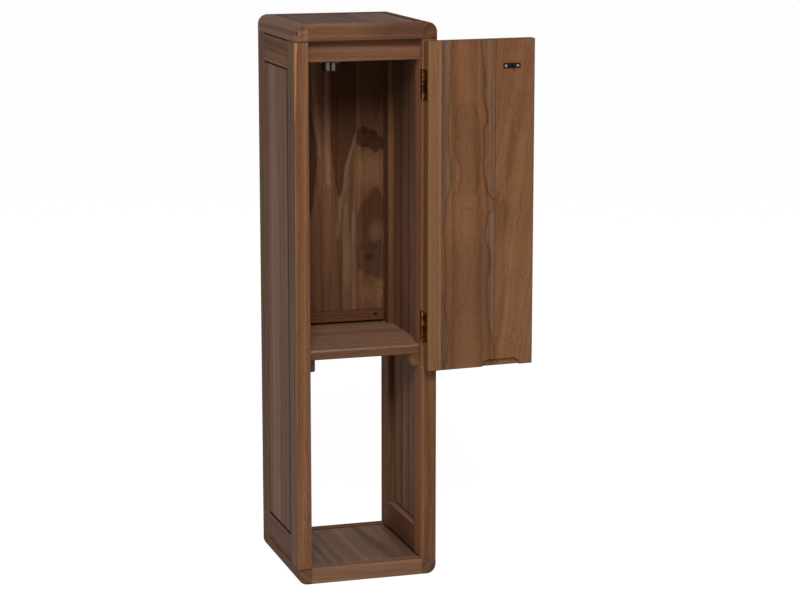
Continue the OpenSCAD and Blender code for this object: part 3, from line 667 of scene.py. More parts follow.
@dataclass(frozen=True)
class Sawn:
    """How one board lay in its log, and what its wood is like.

    Attributes:
        along: The way the grain runs.
        heart: Distance from the board's middle to the log's heart, across and above the grain.
        lean: Turn of the heart against the board, in degrees.
        palette: The board's colours.
        ring: Width of a year's ring.
        wander: How far the grain wanders on its way along the board.
        curl: How far it curls in short waves.
        contrast: Strength of the rings.
        streaks: Strength of the dark streaks.
        greys: Strength of the greyish clouds.
        bands: Strength of the broad bands that follow the rings.
        ends: How dark the ends are.
        marks: Streaks and patches of its own.
        rubbed_and_highlit: How light its long edges are, for wear and a painted highlight.
        tint: Factors on the red, green and blue of all its colours.
    """

    along: Along
    heart: tuple[float, float]
    lean: tuple[float, float] = (0.0, 0.0)
    palette: Palette = WARM
    ring: float = 4.0
    wander: float = 12.0
    curl: float = 1.5
    contrast: float = 0.7
    streaks: float = 0.5
    greys: float = 0.25
    bands: float = 0.5
    ends: float = 0.45
    marks: tuple[Mark, ...] = ()
    rubbed_and_highlit: float = 0.0
    tint: Colour = (1.0, 1.0, 1.0)

    def material(self, name: str, mesh: bpy.types.Mesh, seed: float, stand: Stand,
                 effects: Effects) -> bpy.types.Material:
        """Paints the board.

        Args:
            name: The board's node name.
            mesh: The board's mesh.
            seed: A number of its own for this board.
            stand: Where the board's body stands.
            effects: The shared effects.

        Returns:
            The board's material.
        """
        made, w, inputs = new_material(name + "_wood")
        low, high = extent(stand.own([vertex.co for vertex in mesh.vertices]))
        middle, out, base = (low + high) / 2, stand.outward(), Euler(self.along.value)
        heart = out @ (middle + self.along.place(*(v * MM for v in self.heart)))
        log_turn = (base.x + math.radians(self.lean[0]), base.y + math.radians(self.lean[1]), base.z + stand.turn)
        grain = w.group(effects.rings, Position=w.place(heart, log_turn), Ring_Width=self.ring * MM,
                        Wander=self.wander * MM, Curl=self.curl * MM, Seed=seed)
        streak, fibre, pores = grain["Streak"], grain["Fibre"], grain["Pores"]
        colour = w.blend(w.times(grain["Ring"], self.contrast), self.palette.early, self.palette.late)
        colour = w.blend(w.times(w.step(streak, *DARK_STREAK), self.streaks), colour, self.palette.streak)
        colour = w.blend(w.times(w.step(streak, *GREY_STREAK), self.greys), colour, self.palette.sap)
        if self.marks:
            place = w.place(stand.origin, (0.0, 0.0, stand.turn))
            bent = w.group(effects.ragged, Position=place, Seed=seed)
            paint = Paint(w, bent, w.parts(place), self.palette.times(LINE_SHADE).late, effects)
            for mark in self.marks:
                colour = mark.lay(paint, colour)
        shade = w.plus(w.spread(grain["Tone"], *TONE_RANGE), w.times(w.minus(fibre, 0.5), FIBRE_SHADE),
                       w.times(w.minus(grain["Bands"], 0.5), self.bands))
        shade = w.times(shade, w.spread(pores, 1.0, PORE_SHADE))
        grey = w.add("ShaderNodeCombineColor", {0: shade, 1: shade, 2: shade}).outputs[0]
        for factor in (grey, self.tint):
            colour = w.blend(1.0, colour, factor, "MULTIPLY")
        if max(abs(v) for v in self.heart) < NEAR_HEART:
            core = w.minus(1.0, w.step(grain["Distance"], *PITH))
            colour = w.blend(w.times(core, PITH_DEPTH), colour, self.palette.times(PITH_SHADE).late)
        way = out.to_3x3() @ (base.to_matrix() @ ALONG_Z)
        normal = w.add("ShaderNodeTexCoord", {}).outputs["Normal"]
        end = w.group(effects.end_grain, Normal=normal, Grain=tuple(way))["Mask"]
        colour = w.blend(w.times(end, self.ends), colour, self.palette.times(END_SHADE).late)
        # Lightens the long edges: wear, and a painted highlight where light catches them.
        if self.rubbed_and_highlit:
            in_board = w.place(out @ middle, (base.x, base.y, base.z + stand.turn))
            half = tuple(abs(v) / 2 for v in base.to_matrix().inverted() @ (high - low))
            edges = w.group(effects.arris, Position=in_board, Half_Size=half, Seed=seed)["Mask"]
            colour = w.blend(w.times(edges, self.rubbed_and_highlit), colour, self.palette.times(ARRIS_LIGHT).early)
        rough = w.plus(w.spread(fibre, *ROUGH_RANGE), w.times(pores, PORE_ROUGH))
        height = w.minus(w.times(fibre, FIBRE_HEIGHT), pores, w.times(grain["Ring"], RING_HEIGHT))
        w.surface(inputs, {"Base Color": colour, "Roughness": rough, "Specular IOR Level": WOOD_SHINE}, height,
                  *WOOD_BUMP)
        return made


@dataclass(frozen=True)
class Metal:
    """A bare or coated metal, or a plain plastic where it is no metal.

    Attributes:
        name: The finish's name.
        colour: Its clean colour.
        stain: Its colour where it is dull.
        rough: Roughness where it is clean.
        metallic: One for bare metal.
        stained: Share of the stains.
        clouds: Size of the stains, where 1 is about 6 mm.
        onset: How much of the surface stays clean, about 0.3 to 0.6.
        gloss: Strength of the reflections of a coat or a plastic.
    """

    name: str
    colour: Colour
    stain: Colour
    rough: float
    metallic: float = 1.0
    stained: float = 0.5
    clouds: float = 1.0
    onset: float = 0.42
    gloss: float = 0.5

    def material(self, effects: Effects) -> bpy.types.Material:
        """Makes the finish with rubbing marks and cloudy patches.

        Args:
            effects: The shared effects.

        Returns:
            The material.
        """
        made, w, inputs = new_material(self.name)
        worn = w.group(effects.scratches, Position=w.place(ORIGIN, ORIGIN), Cloud_Size=self.clouds)
        cloud = w.step(worn["Clouds"], self.onset, self.onset + STAIN_STEP)
        colour = w.blend(w.times(cloud, self.stained), self.colour, self.stain)
        rough = w.plus(w.spread(worn["Marks"], *(self.rough * share for share in METAL_ROUGH)),
                       w.times(cloud, STAIN_ROUGH))
        w.surface(inputs, {"Base Color": colour, "Roughness": rough, "Metallic": self.metallic,
                           "Specular IOR Level": self.gloss}, worn["Marks"], *METAL_BUMP)
        return made


BRASS = Metal("hinge_brass", srgb(150, 100, 44), srgb(46, 24, 12), 0.30, stained=0.95, clouds=0.8, onset=0.36)
ZINC = Metal("zinc_plate", srgb(168, 166, 164), srgb(112, 108, 104), 0.36, stained=0.6)
DULL = Metal("dull_steel", srgb(92, 86, 80), srgb(60, 55, 50), 0.48, stained=0.7)
BLACK = Metal("black_lacquer", srgb(22, 20, 20), srgb(32, 29, 28), 0.50, metallic=0.0, gloss=0.10)
ROLLER = Metal("roller_plastic", srgb(104, 96, 88), srgb(80, 73, 67), 0.62, metallic=0.0, gloss=0.2)

CORE, TIP, PITCH, RIDGE = 0.70, 2.4, 0.8, 0.28
SLOT_LENGTH, SLOT_WIDTH, SLOT_DEPTH = 1.25, 0.24, 1.1
HEAD_SIDES, ROD_SIDES, THREAD_STEPS, RIDGE_SIDES, POINT = 28, 20, 16, 3, 0.0001
SCREW_ANGLE, BOARD_ANGLE, BEVEL_ANGLE, FLAT_ANGLE = 35.0, 50.0, 24.0, 0.5
FLAT_WEIGHT, ROLLER_FACETS = 90, 3


@dataclass(frozen=True)
class Seat:
    """Where one screw sits and how big it is."""

    place: Vector
    way: Vector
    length: float
    shank: float
    head: float


class Head(Enum):
    """The form of a screw's head: its lower and upper radius as shares of the head's, and its height."""

    SUNK = (0.5, 1.0, 0.5)
    ROUND = (1.0, 0.74, 0.65)


def linked(name: str, data: bpy.types.ID) -> bpy.types.Object:
    """Adds a mesh, a lamp or a camera to the scene as an object.

    Args:
        name: The object's name.
        data: What it shows.

    Returns:
        The object.
    """
    made = bpy.data.objects.new(name, data)
    bpy.context.scene.collection.objects.link(made)
    return made


def shaded(mesh: bpy.types.Mesh, angle: float) -> None:
    """Shades a mesh smoothly, but for its edges that are sharper than an angle in degrees."""
    mesh.polygons.foreach_set("use_smooth", [True] * len(mesh.polygons))
    mesh.set_sharp_from_angle(angle=math.radians(angle))


def applied(piece: bpy.types.Object, modifier: bpy.types.Modifier, layers: bool) -> None:
    """Keeps what a modifier makes of a piece as its plain mesh.

    Args:
        piece: The piece.
        modifier: Its modifier.
        layers: True to keep all data layers.
    """
    bpy.context.view_layer.update()
    graph = bpy.context.evaluated_depsgraph_get()
    mesh = bpy.data.meshes.new_from_object(piece.evaluated_get(graph), preserve_all_data_layers=layers,
                                           depsgraph=graph)
    piece.modifiers.remove(modifier)
    piece.data = mesh


class Tree(Nodes):
    """A Geometry Nodes tree that is built step by step and then baked."""

    def __init__(self, name: str, sizes: dict[str, float]) -> None:
        """Starts the tree.

        Args:
            name: Its name.
            sizes: Its size inputs. It also takes the seats, a whole-number seed and a finish.
        """
        super().__init__(bpy.data.node_groups.new(name, "GeometryNodeTree"))
        face = self.tree.interface
        kinds = {"Seats": "Geometry", **dict.fromkeys(sizes, "Float"), "Seed": "Int", "Finish": "Material"}
        self.sockets = {key: face.new_socket(name=key, in_out="INPUT", socket_type="NodeSocket" + kind)
                        for key, kind in kinds.items()}
        for key, value in sizes.items():
            self.sockets[key].default_value = value
        face.new_socket(name="Geometry", in_out="OUTPUT", socket_type="NodeSocketGeometry")
        self.takes = self.tree.nodes.new("NodeGroupInput").outputs
        self.gives = self.tree.nodes.new("NodeGroupOutput").inputs

    def lowered(self, shape: Socket, depth: Number) -> Socket:
        """Moves a shape down."""
        way = self.triple(0.0, 0.0, self.times(depth, -1.0))
        return self.add("GeometryNodeTransform", {"Geometry": shape, "Translation": way}).outputs[0]

    def mesh(self, kind: str, **feeds: object) -> Socket:
        """Adds a mesh primitive with its inputs named with underscores for spaces."""
        named = {name.replace("_", " "): value for name, value in feeds.items()}
        return self.add("GeometryNodeMesh" + kind, named).outputs["Mesh"]

    def end(self, shape: Socket) -> None:
        """Turns instances into mesh, sets the finish and closes the tree."""
        real = self.add("GeometryNodeRealizeInstances", {0: shape}).outputs[0]
        self.join(self.add("GeometryNodeSetMaterial", {0: real, "Material": self.takes["Finish"]}).outputs[0],
                  self.gives[0])

    def bake(self, name: str, seats: Sequence[Seat], values: dict[str, object]) -> bpy.types.Object:
        """Runs the tree on a set of seats and keeps the result as a plain mesh.

        Args:
            name: The new piece's name.
            seats: Where each copy goes.
            values: Input values by name.

        Returns:
            The piece.
        """
        mesh = bpy.data.meshes.new(name)
        mesh.from_pydata([seat.place for seat in seats], [], [])
        way = mesh.attributes.new("way", "FLOAT_VECTOR", "POINT")
        for index, seat in enumerate(seats):
            way.data[index].vector = seat.way
        piece = linked(name, mesh)
        modifier = piece.modifiers.new("grow", "NODES")
        modifier.node_group = self.tree
        for key, value in values.items():
            modifier[self.sockets[key].identifier] = value
        applied(piece, modifier, layers=False)
        shaded(piece.data, SCREW_ANGLE)
        return piece


def screw_tree() -> Tree:
    """Builds the tree that grows a threaded cross-head screw on every seat.

    Returns:
        The tree.
    """
    t = Tree("Screws On Seats", {"Length": 0.016, "Shank Radius": 0.0015, "Head Low Radius": 0.0015,
                                 "Head Top Radius": 0.003, "Head Height": 0.0015, "Thread Pitch": 0.0012})
    takes = t.takes
    length, shank, wide, high = (takes[n] for n in ("Length", "Shank Radius", "Head Top Radius", "Head Height"))
    core, tip = t.times(shank, CORE), t.times(shank, TIP)
    rod_l = t.minus(length, high, tip)
    cone = t.mesh("Cone", Vertices=HEAD_SIDES, Radius_Bottom=takes["Head Low Radius"], Radius_Top=wide, Depth=high)
    bar = t.mesh("Cube", Size=t.triple(t.times(wide, SLOT_LENGTH), t.times(wide, SLOT_WIDTH),
                                         t.times(high, SLOT_DEPTH)))
    turned = t.add("GeometryNodeTransform", {"Geometry": bar, "Rotation": (0.0, 0.0, math.pi / 2)}).outputs[0]
    head = t.add("GeometryNodeMeshBoolean", {"Mesh 1": t.lowered(cone, high), "Mesh 2": [bar, turned]},
                 operation="DIFFERENCE", solver="EXACT").outputs["Mesh"]
    rod = t.mesh("Cylinder", Vertices=ROD_SIDES, Radius=core, Depth=rod_l)
    point = t.mesh("Cone", Vertices=ROD_SIDES, Radius_Bottom=POINT, Radius_Top=core, Depth=tip)
    helix = t.add("GeometryNodeCurveSpiral", {
        "Resolution": THREAD_STEPS, "Rotations": t.math("DIVIDE", rod_l, takes["Thread Pitch"]), "Start Radius": core,
        "End Radius": core, "Height": rod_l}).outputs[0]
    ridge = t.add("GeometryNodeCurvePrimitiveCircle", {"Resolution": RIDGE_SIDES,
                                                          "Radius": t.times(shank, RIDGE)}).outputs[0]
    thread = t.add("GeometryNodeCurveToMesh", {"Curve": helix, "Profile Curve": ridge, "Fill Caps": True}).outputs[0]
    screw = t.add("GeometryNodeJoinGeometry", {0: [
        head, t.lowered(rod, t.plus(high, t.times(rod_l, 0.5))), t.lowered(point, length),
        t.lowered(thread, t.plus(high, rod_l))]}).outputs[0]
    points = t.add("GeometryNodeMeshToPoints", {0: takes["Seats"]}).outputs[0]
    way = t.add("GeometryNodeInputNamedAttribute", {"Name": "way"}, data_type="FLOAT_VECTOR").outputs[0]
    stand = t.add("FunctionNodeAlignRotationToVector", {"Vector": way}, axis="Z").outputs[0]
    chance = t.add("FunctionNodeRandomValue", {3: math.pi, "Seed": takes["Seed"]}, data_type="FLOAT").outputs[1]
    spin = t.add("FunctionNodeEulerToRotation", {0: t.triple(0.0, 0.0, chance)}).outputs[0]
    stand = t.add("FunctionNodeRotateRotation", {0: stand, 1: spin}, rotation_space="LOCAL").outputs[0]
    t.end(t.add("GeometryNodeInstanceOnPoints", {"Points": points, "Instance": screw, "Rotation": stand}).outputs[0])
    return t


def welded(mesh: bpy.types.Mesh) -> bmesh.types.BMesh:
    """Opens a mesh for work and joins its doubled points.

    Args:
        mesh: The mesh.

    Returns:
        The open copy.
    """
    work = bmesh.new()
    work.from_mesh(mesh)
    bmesh.ops.remove_doubles(work, verts=work.verts, dist=WELD)
    return work


def seats_of(mesh: bpy.types.Mesh, stand: Stand) -> list[Seat]:
    """Finds where each screw of a set sits, from the screws' solids.

    Args:
        mesh: The solids, in one mesh.
        stand: Where their body stands.

    Returns:
        One seat for each solid, in a steady order.
    """
    work = welded(mesh)
    found, left = [], {vertex.index for vertex in work.verts}
    work.verts.ensure_lookup_table()
    while left:
        start = min(left)
        left.discard(start)
        group, queue = [], [work.verts[start]]
        while queue:
            vertex = queue.pop()
            group.append(vertex.co)
            for other in (edge.other_vert(vertex) for edge in vertex.link_edges):
                if other.index in left:
                    left.discard(other.index)
                    queue.append(other)
        found.append(_seat(stand.own(group), stand))
    work.free()
    return sorted(found, key=lambda seat: tuple(round(v, 4) for v in seat.place))


def _seat(points: Sequence[Vector], stand: Stand) -> Seat:
    """Measures one screw from its points.

    Args:
        points: Points of the solid in its body's own axes.
        stand: Where the body stands.

    Returns:
        Its seat in the object.
    """
    low, high = extent(points)
    size, middle = high - low, (low + high) / 2
    axis = max(range(3), key=lambda i: size[i])

    def radius(start: float, stop: float) -> float:
        """Widest distance from the axis between two shares of the length."""
        near = [p - middle for p in points if start <= (p[axis] - low[axis]) / size[axis] <= stop]
        return max((math.hypot(*(v[i] for i in range(3) if i != axis)) for v in near), default=0.0)

    up = radius(0.8, 1.0) > radius(0.0, 0.2)
    way = Vector([(1.0 if up else -1.0) if i == axis else 0.0 for i in range(3)])
    out = stand.outward()
    return Seat(out @ (middle + way * size[axis] / 2), out.to_3x3() @ way, size[axis],
                radius(0.0, 0.5) if up else radius(0.5, 1.0), max(radius(0.8, 1.0), radius(0.0, 0.2)))


class Shop:
    """Makes finished pieces: copies of solids with softened edges, and screws grown on their seats."""

    def __init__(self, frame: dict) -> None:
        """Builds the shared effects and trees and notes what is made.
        """
        self.solids = frame["nodes"]
        self.slots = {part["node"]: part["material_slot"] for part in frame["record"]["subparts"]}
        self.bodies = {n: b for b, ns in frame["record"]["behaviour"]["bodies"].items() for n in ns}
        self.effects = Effects()
        self.screws = screw_tree()
        self.finishes: dict[Metal, bpy.types.Material] = {}
        self.made: list[str] = []

    def finish(self, metal: Metal) -> bpy.types.Material:
        """The material of a finish, made once."""
        if metal not in self.finishes:
            self.finishes[metal] = metal.material(self.effects)
        return self.finishes[metal]

    def softened(self, node: str, width: float, segments: int = 2) -> bpy.types.Object:
        """Copies a solid, rounds its sharp edges a little and keeps its flat faces flat.

        Args:
            node: The solid's name.
            width: Width of the rounding.
            segments: Facets of the rounding.

        Returns:
            The copy, at the origin.
        """
        mesh = self.solids[node].data.copy()
        mesh.materials.clear()
        work = welded(mesh)
        bmesh.ops.dissolve_limit(work, angle_limit=math.radians(FLAT_ANGLE), verts=work.verts, edges=work.edges)
        least = math.radians(BEVEL_ANGLE)
        sharp = [e for e in work.edges if len(e.link_faces) == 2 and e.calc_face_angle(0.0) > least]
        bmesh.ops.bevel(work, geom=sharp, offset=width, offset_type="OFFSET", segments=segments, profile=0.5,
                        affect="EDGES", clamp_overlap=True)
        work.to_mesh(mesh)
        work.free()
        piece = linked(node + "_piece", mesh)
        shaded(mesh, BOARD_ANGLE)
        modifier = piece.modifiers.new("flat faces", "WEIGHTED_NORMAL")
        modifier.keep_sharp, modifier.weight = True, FLAT_WEIGHT
        applied(piece, modifier, layers=True)
        return piece

    def screwed(self, node: str, head: Head, stand: Stand, metal: Metal, seed: int) -> bpy.types.Object:
        """Grows the screws of one set on the seats of their solids.

        Args:
            node: The set's node.
            head: The form of the heads.
            stand: Where the set's body stands.
            metal: The finish.
            seed: Seed for the turn of each screw.

        Returns:
            The screws as one piece.
        """
        seats = seats_of(self.solids[node].data, stand)
        first = seats[0]
        low, top, height = (share * first.head for share in head.value)
        return self.screws.bake(node + "_piece", seats, {
            "Length": first.length, "Shank Radius": first.shank, "Head Low Radius": low, "Head Top Radius": top,
            "Head Height": height, "Thread Pitch": first.shank * PITCH, "Seed": seed, "Finish": self.finish(metal)})

    def install(self, piece: bpy.types.Object, material: bpy.types.Material, node: str) -> None:
        """Gives a finished piece its material and hands it to the frame.

        Args:
            piece: The piece, in its place.
            material: Its material.
            node: The solid that it stands for, which also gives its body.
        """
        piece.data.materials.clear()
        piece.data.materials.append(material)
        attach(piece, self.bodies[node])
        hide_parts(node)
        self.made.append(piece.name)
        LOG.info("%s on %s, %d faces", piece.name, self.bodies[node], len(piece.data.polygons))

    def dress(self, node: str, material: bpy.types.Material) -> None:
        """Gives a solid that is used as it is its material.

        Args:
            node: The solid's name.
            material: Its material.
        """
        materials = self.solids[node].data.materials
        materials.clear()
        materials.append(material)
        LOG.info("%s dressed", node)

    def saw(self, boards: dict[str, Sawn], soft: float, stand: Stand, seed: float, step: float) -> None:
        """Softens, paints and installs the boards of a sub-assembly.

        Args:
            boards: How each board was sawn.
            soft: Width of the rounding on their edges.
            stand: Where their body stands.
            seed: Seed of the first board.
            step: Difference between one board's seed and the next one's.
        """
        for index, (node, sawn) in enumerate(boards.items()):
            paint = sawn.material(node, self.solids[node].data, seed + index * step, stand, self.effects)
            self.install(self.softened(node, soft), paint, node)


def band(run: Run, start: float, stop: float, low: float, high: float, colour: Colour = JOINT_DARK_AND_GROOVE_SHADE,
         depth: float = 0.85, soft: float = 0.3, fade: float = 0.5, straight: bool = True) -> Streak:
    """A streak of one width: a dark joint line, or painted shade on the wall of a groove, where nothing else is said.

    Args:
        run: The way it runs.
        start: Where it starts along its run.
        stop: Where it stops.
        low: Its lower border.
        high: Its upper border.
        colour: Its colour.
        depth: How strongly it covers the wood.
        soft: Width of its soft border.
        fade: Length over which its ends fade.
        straight: False where its borders wander.

    Returns:
        The mark.
    """
    return Streak(((start, low, high), (stop, low, high)), colour, depth, soft, 0.0, run, fade, straight)


def opened(*rows: tuple[float, float, float]) -> tuple[tuple[float, float, float], ...]:
    """Lines measured on the open door, in the closed door's axes.

    Args:
        *rows: Distance below the door's top edge, then two distances from its hinge edge.

    Returns:
        The path of a streak, from its lowest place to its highest.
    """
    return tuple((DOOR_TOP - down, DOOR_HINGE - far, DOOR_HINGE - near) for down, near, far in
                 sorted(rows, reverse=True))


WIDTH, DEPTH, HEIGHT = Along
UP, UP_SIDE, ACROSS, IN, IN_SIDE, OVER = Run
DOOR_TOP, DOOR_HINGE = 1162.0, 121.5
# Painted shade on the groove walls at the top and bottom ends of the side panels; the second set, for the right side's
# boards, is fainter at the bottom.
PANEL_ENDS = (band(IN_SIDE, -120, 120, 1101.3, 1130), band(IN_SIDE, -120, 120, 80, 98.7))
INNER_ENDS = (PANEL_ENDS[0], band(IN_SIDE, -120, 120, 80, 96.8, depth=0.6))
# Painted shade from the head rail near the top of the cupboard's inside: on back boards 3 and 4, and on the right
# side's boards.
PAINTED_SHADE_TOP = band(UP, 960, 1170, -140, 140, srgb(62, 38, 26), 0.45, 10, fade=120)
PAINTED_SHADE_TOP_SIDE = band(UP_SIDE, 900, 1110, -120, 120, srgb(62, 38, 28), 0.5, 10, fade=160)
# Painted light on the inner face of the right side's boards.
PAINTED_LIGHT_INNER_FACE = band(UP, 80, 1120, 130, 141.5, srgb(164, 118, 90), 0.6, fade=6)
# Painted shade on the wall of the groove along the front of the top's and base's boards.
SLAB_FRONT = band(OVER, -160, 160, -150, -128.3)
FOOT_LINE = band(ACROSS, -130, 130, 455, 460.5, srgb(84, 52, 36), 0.6, fade=6)

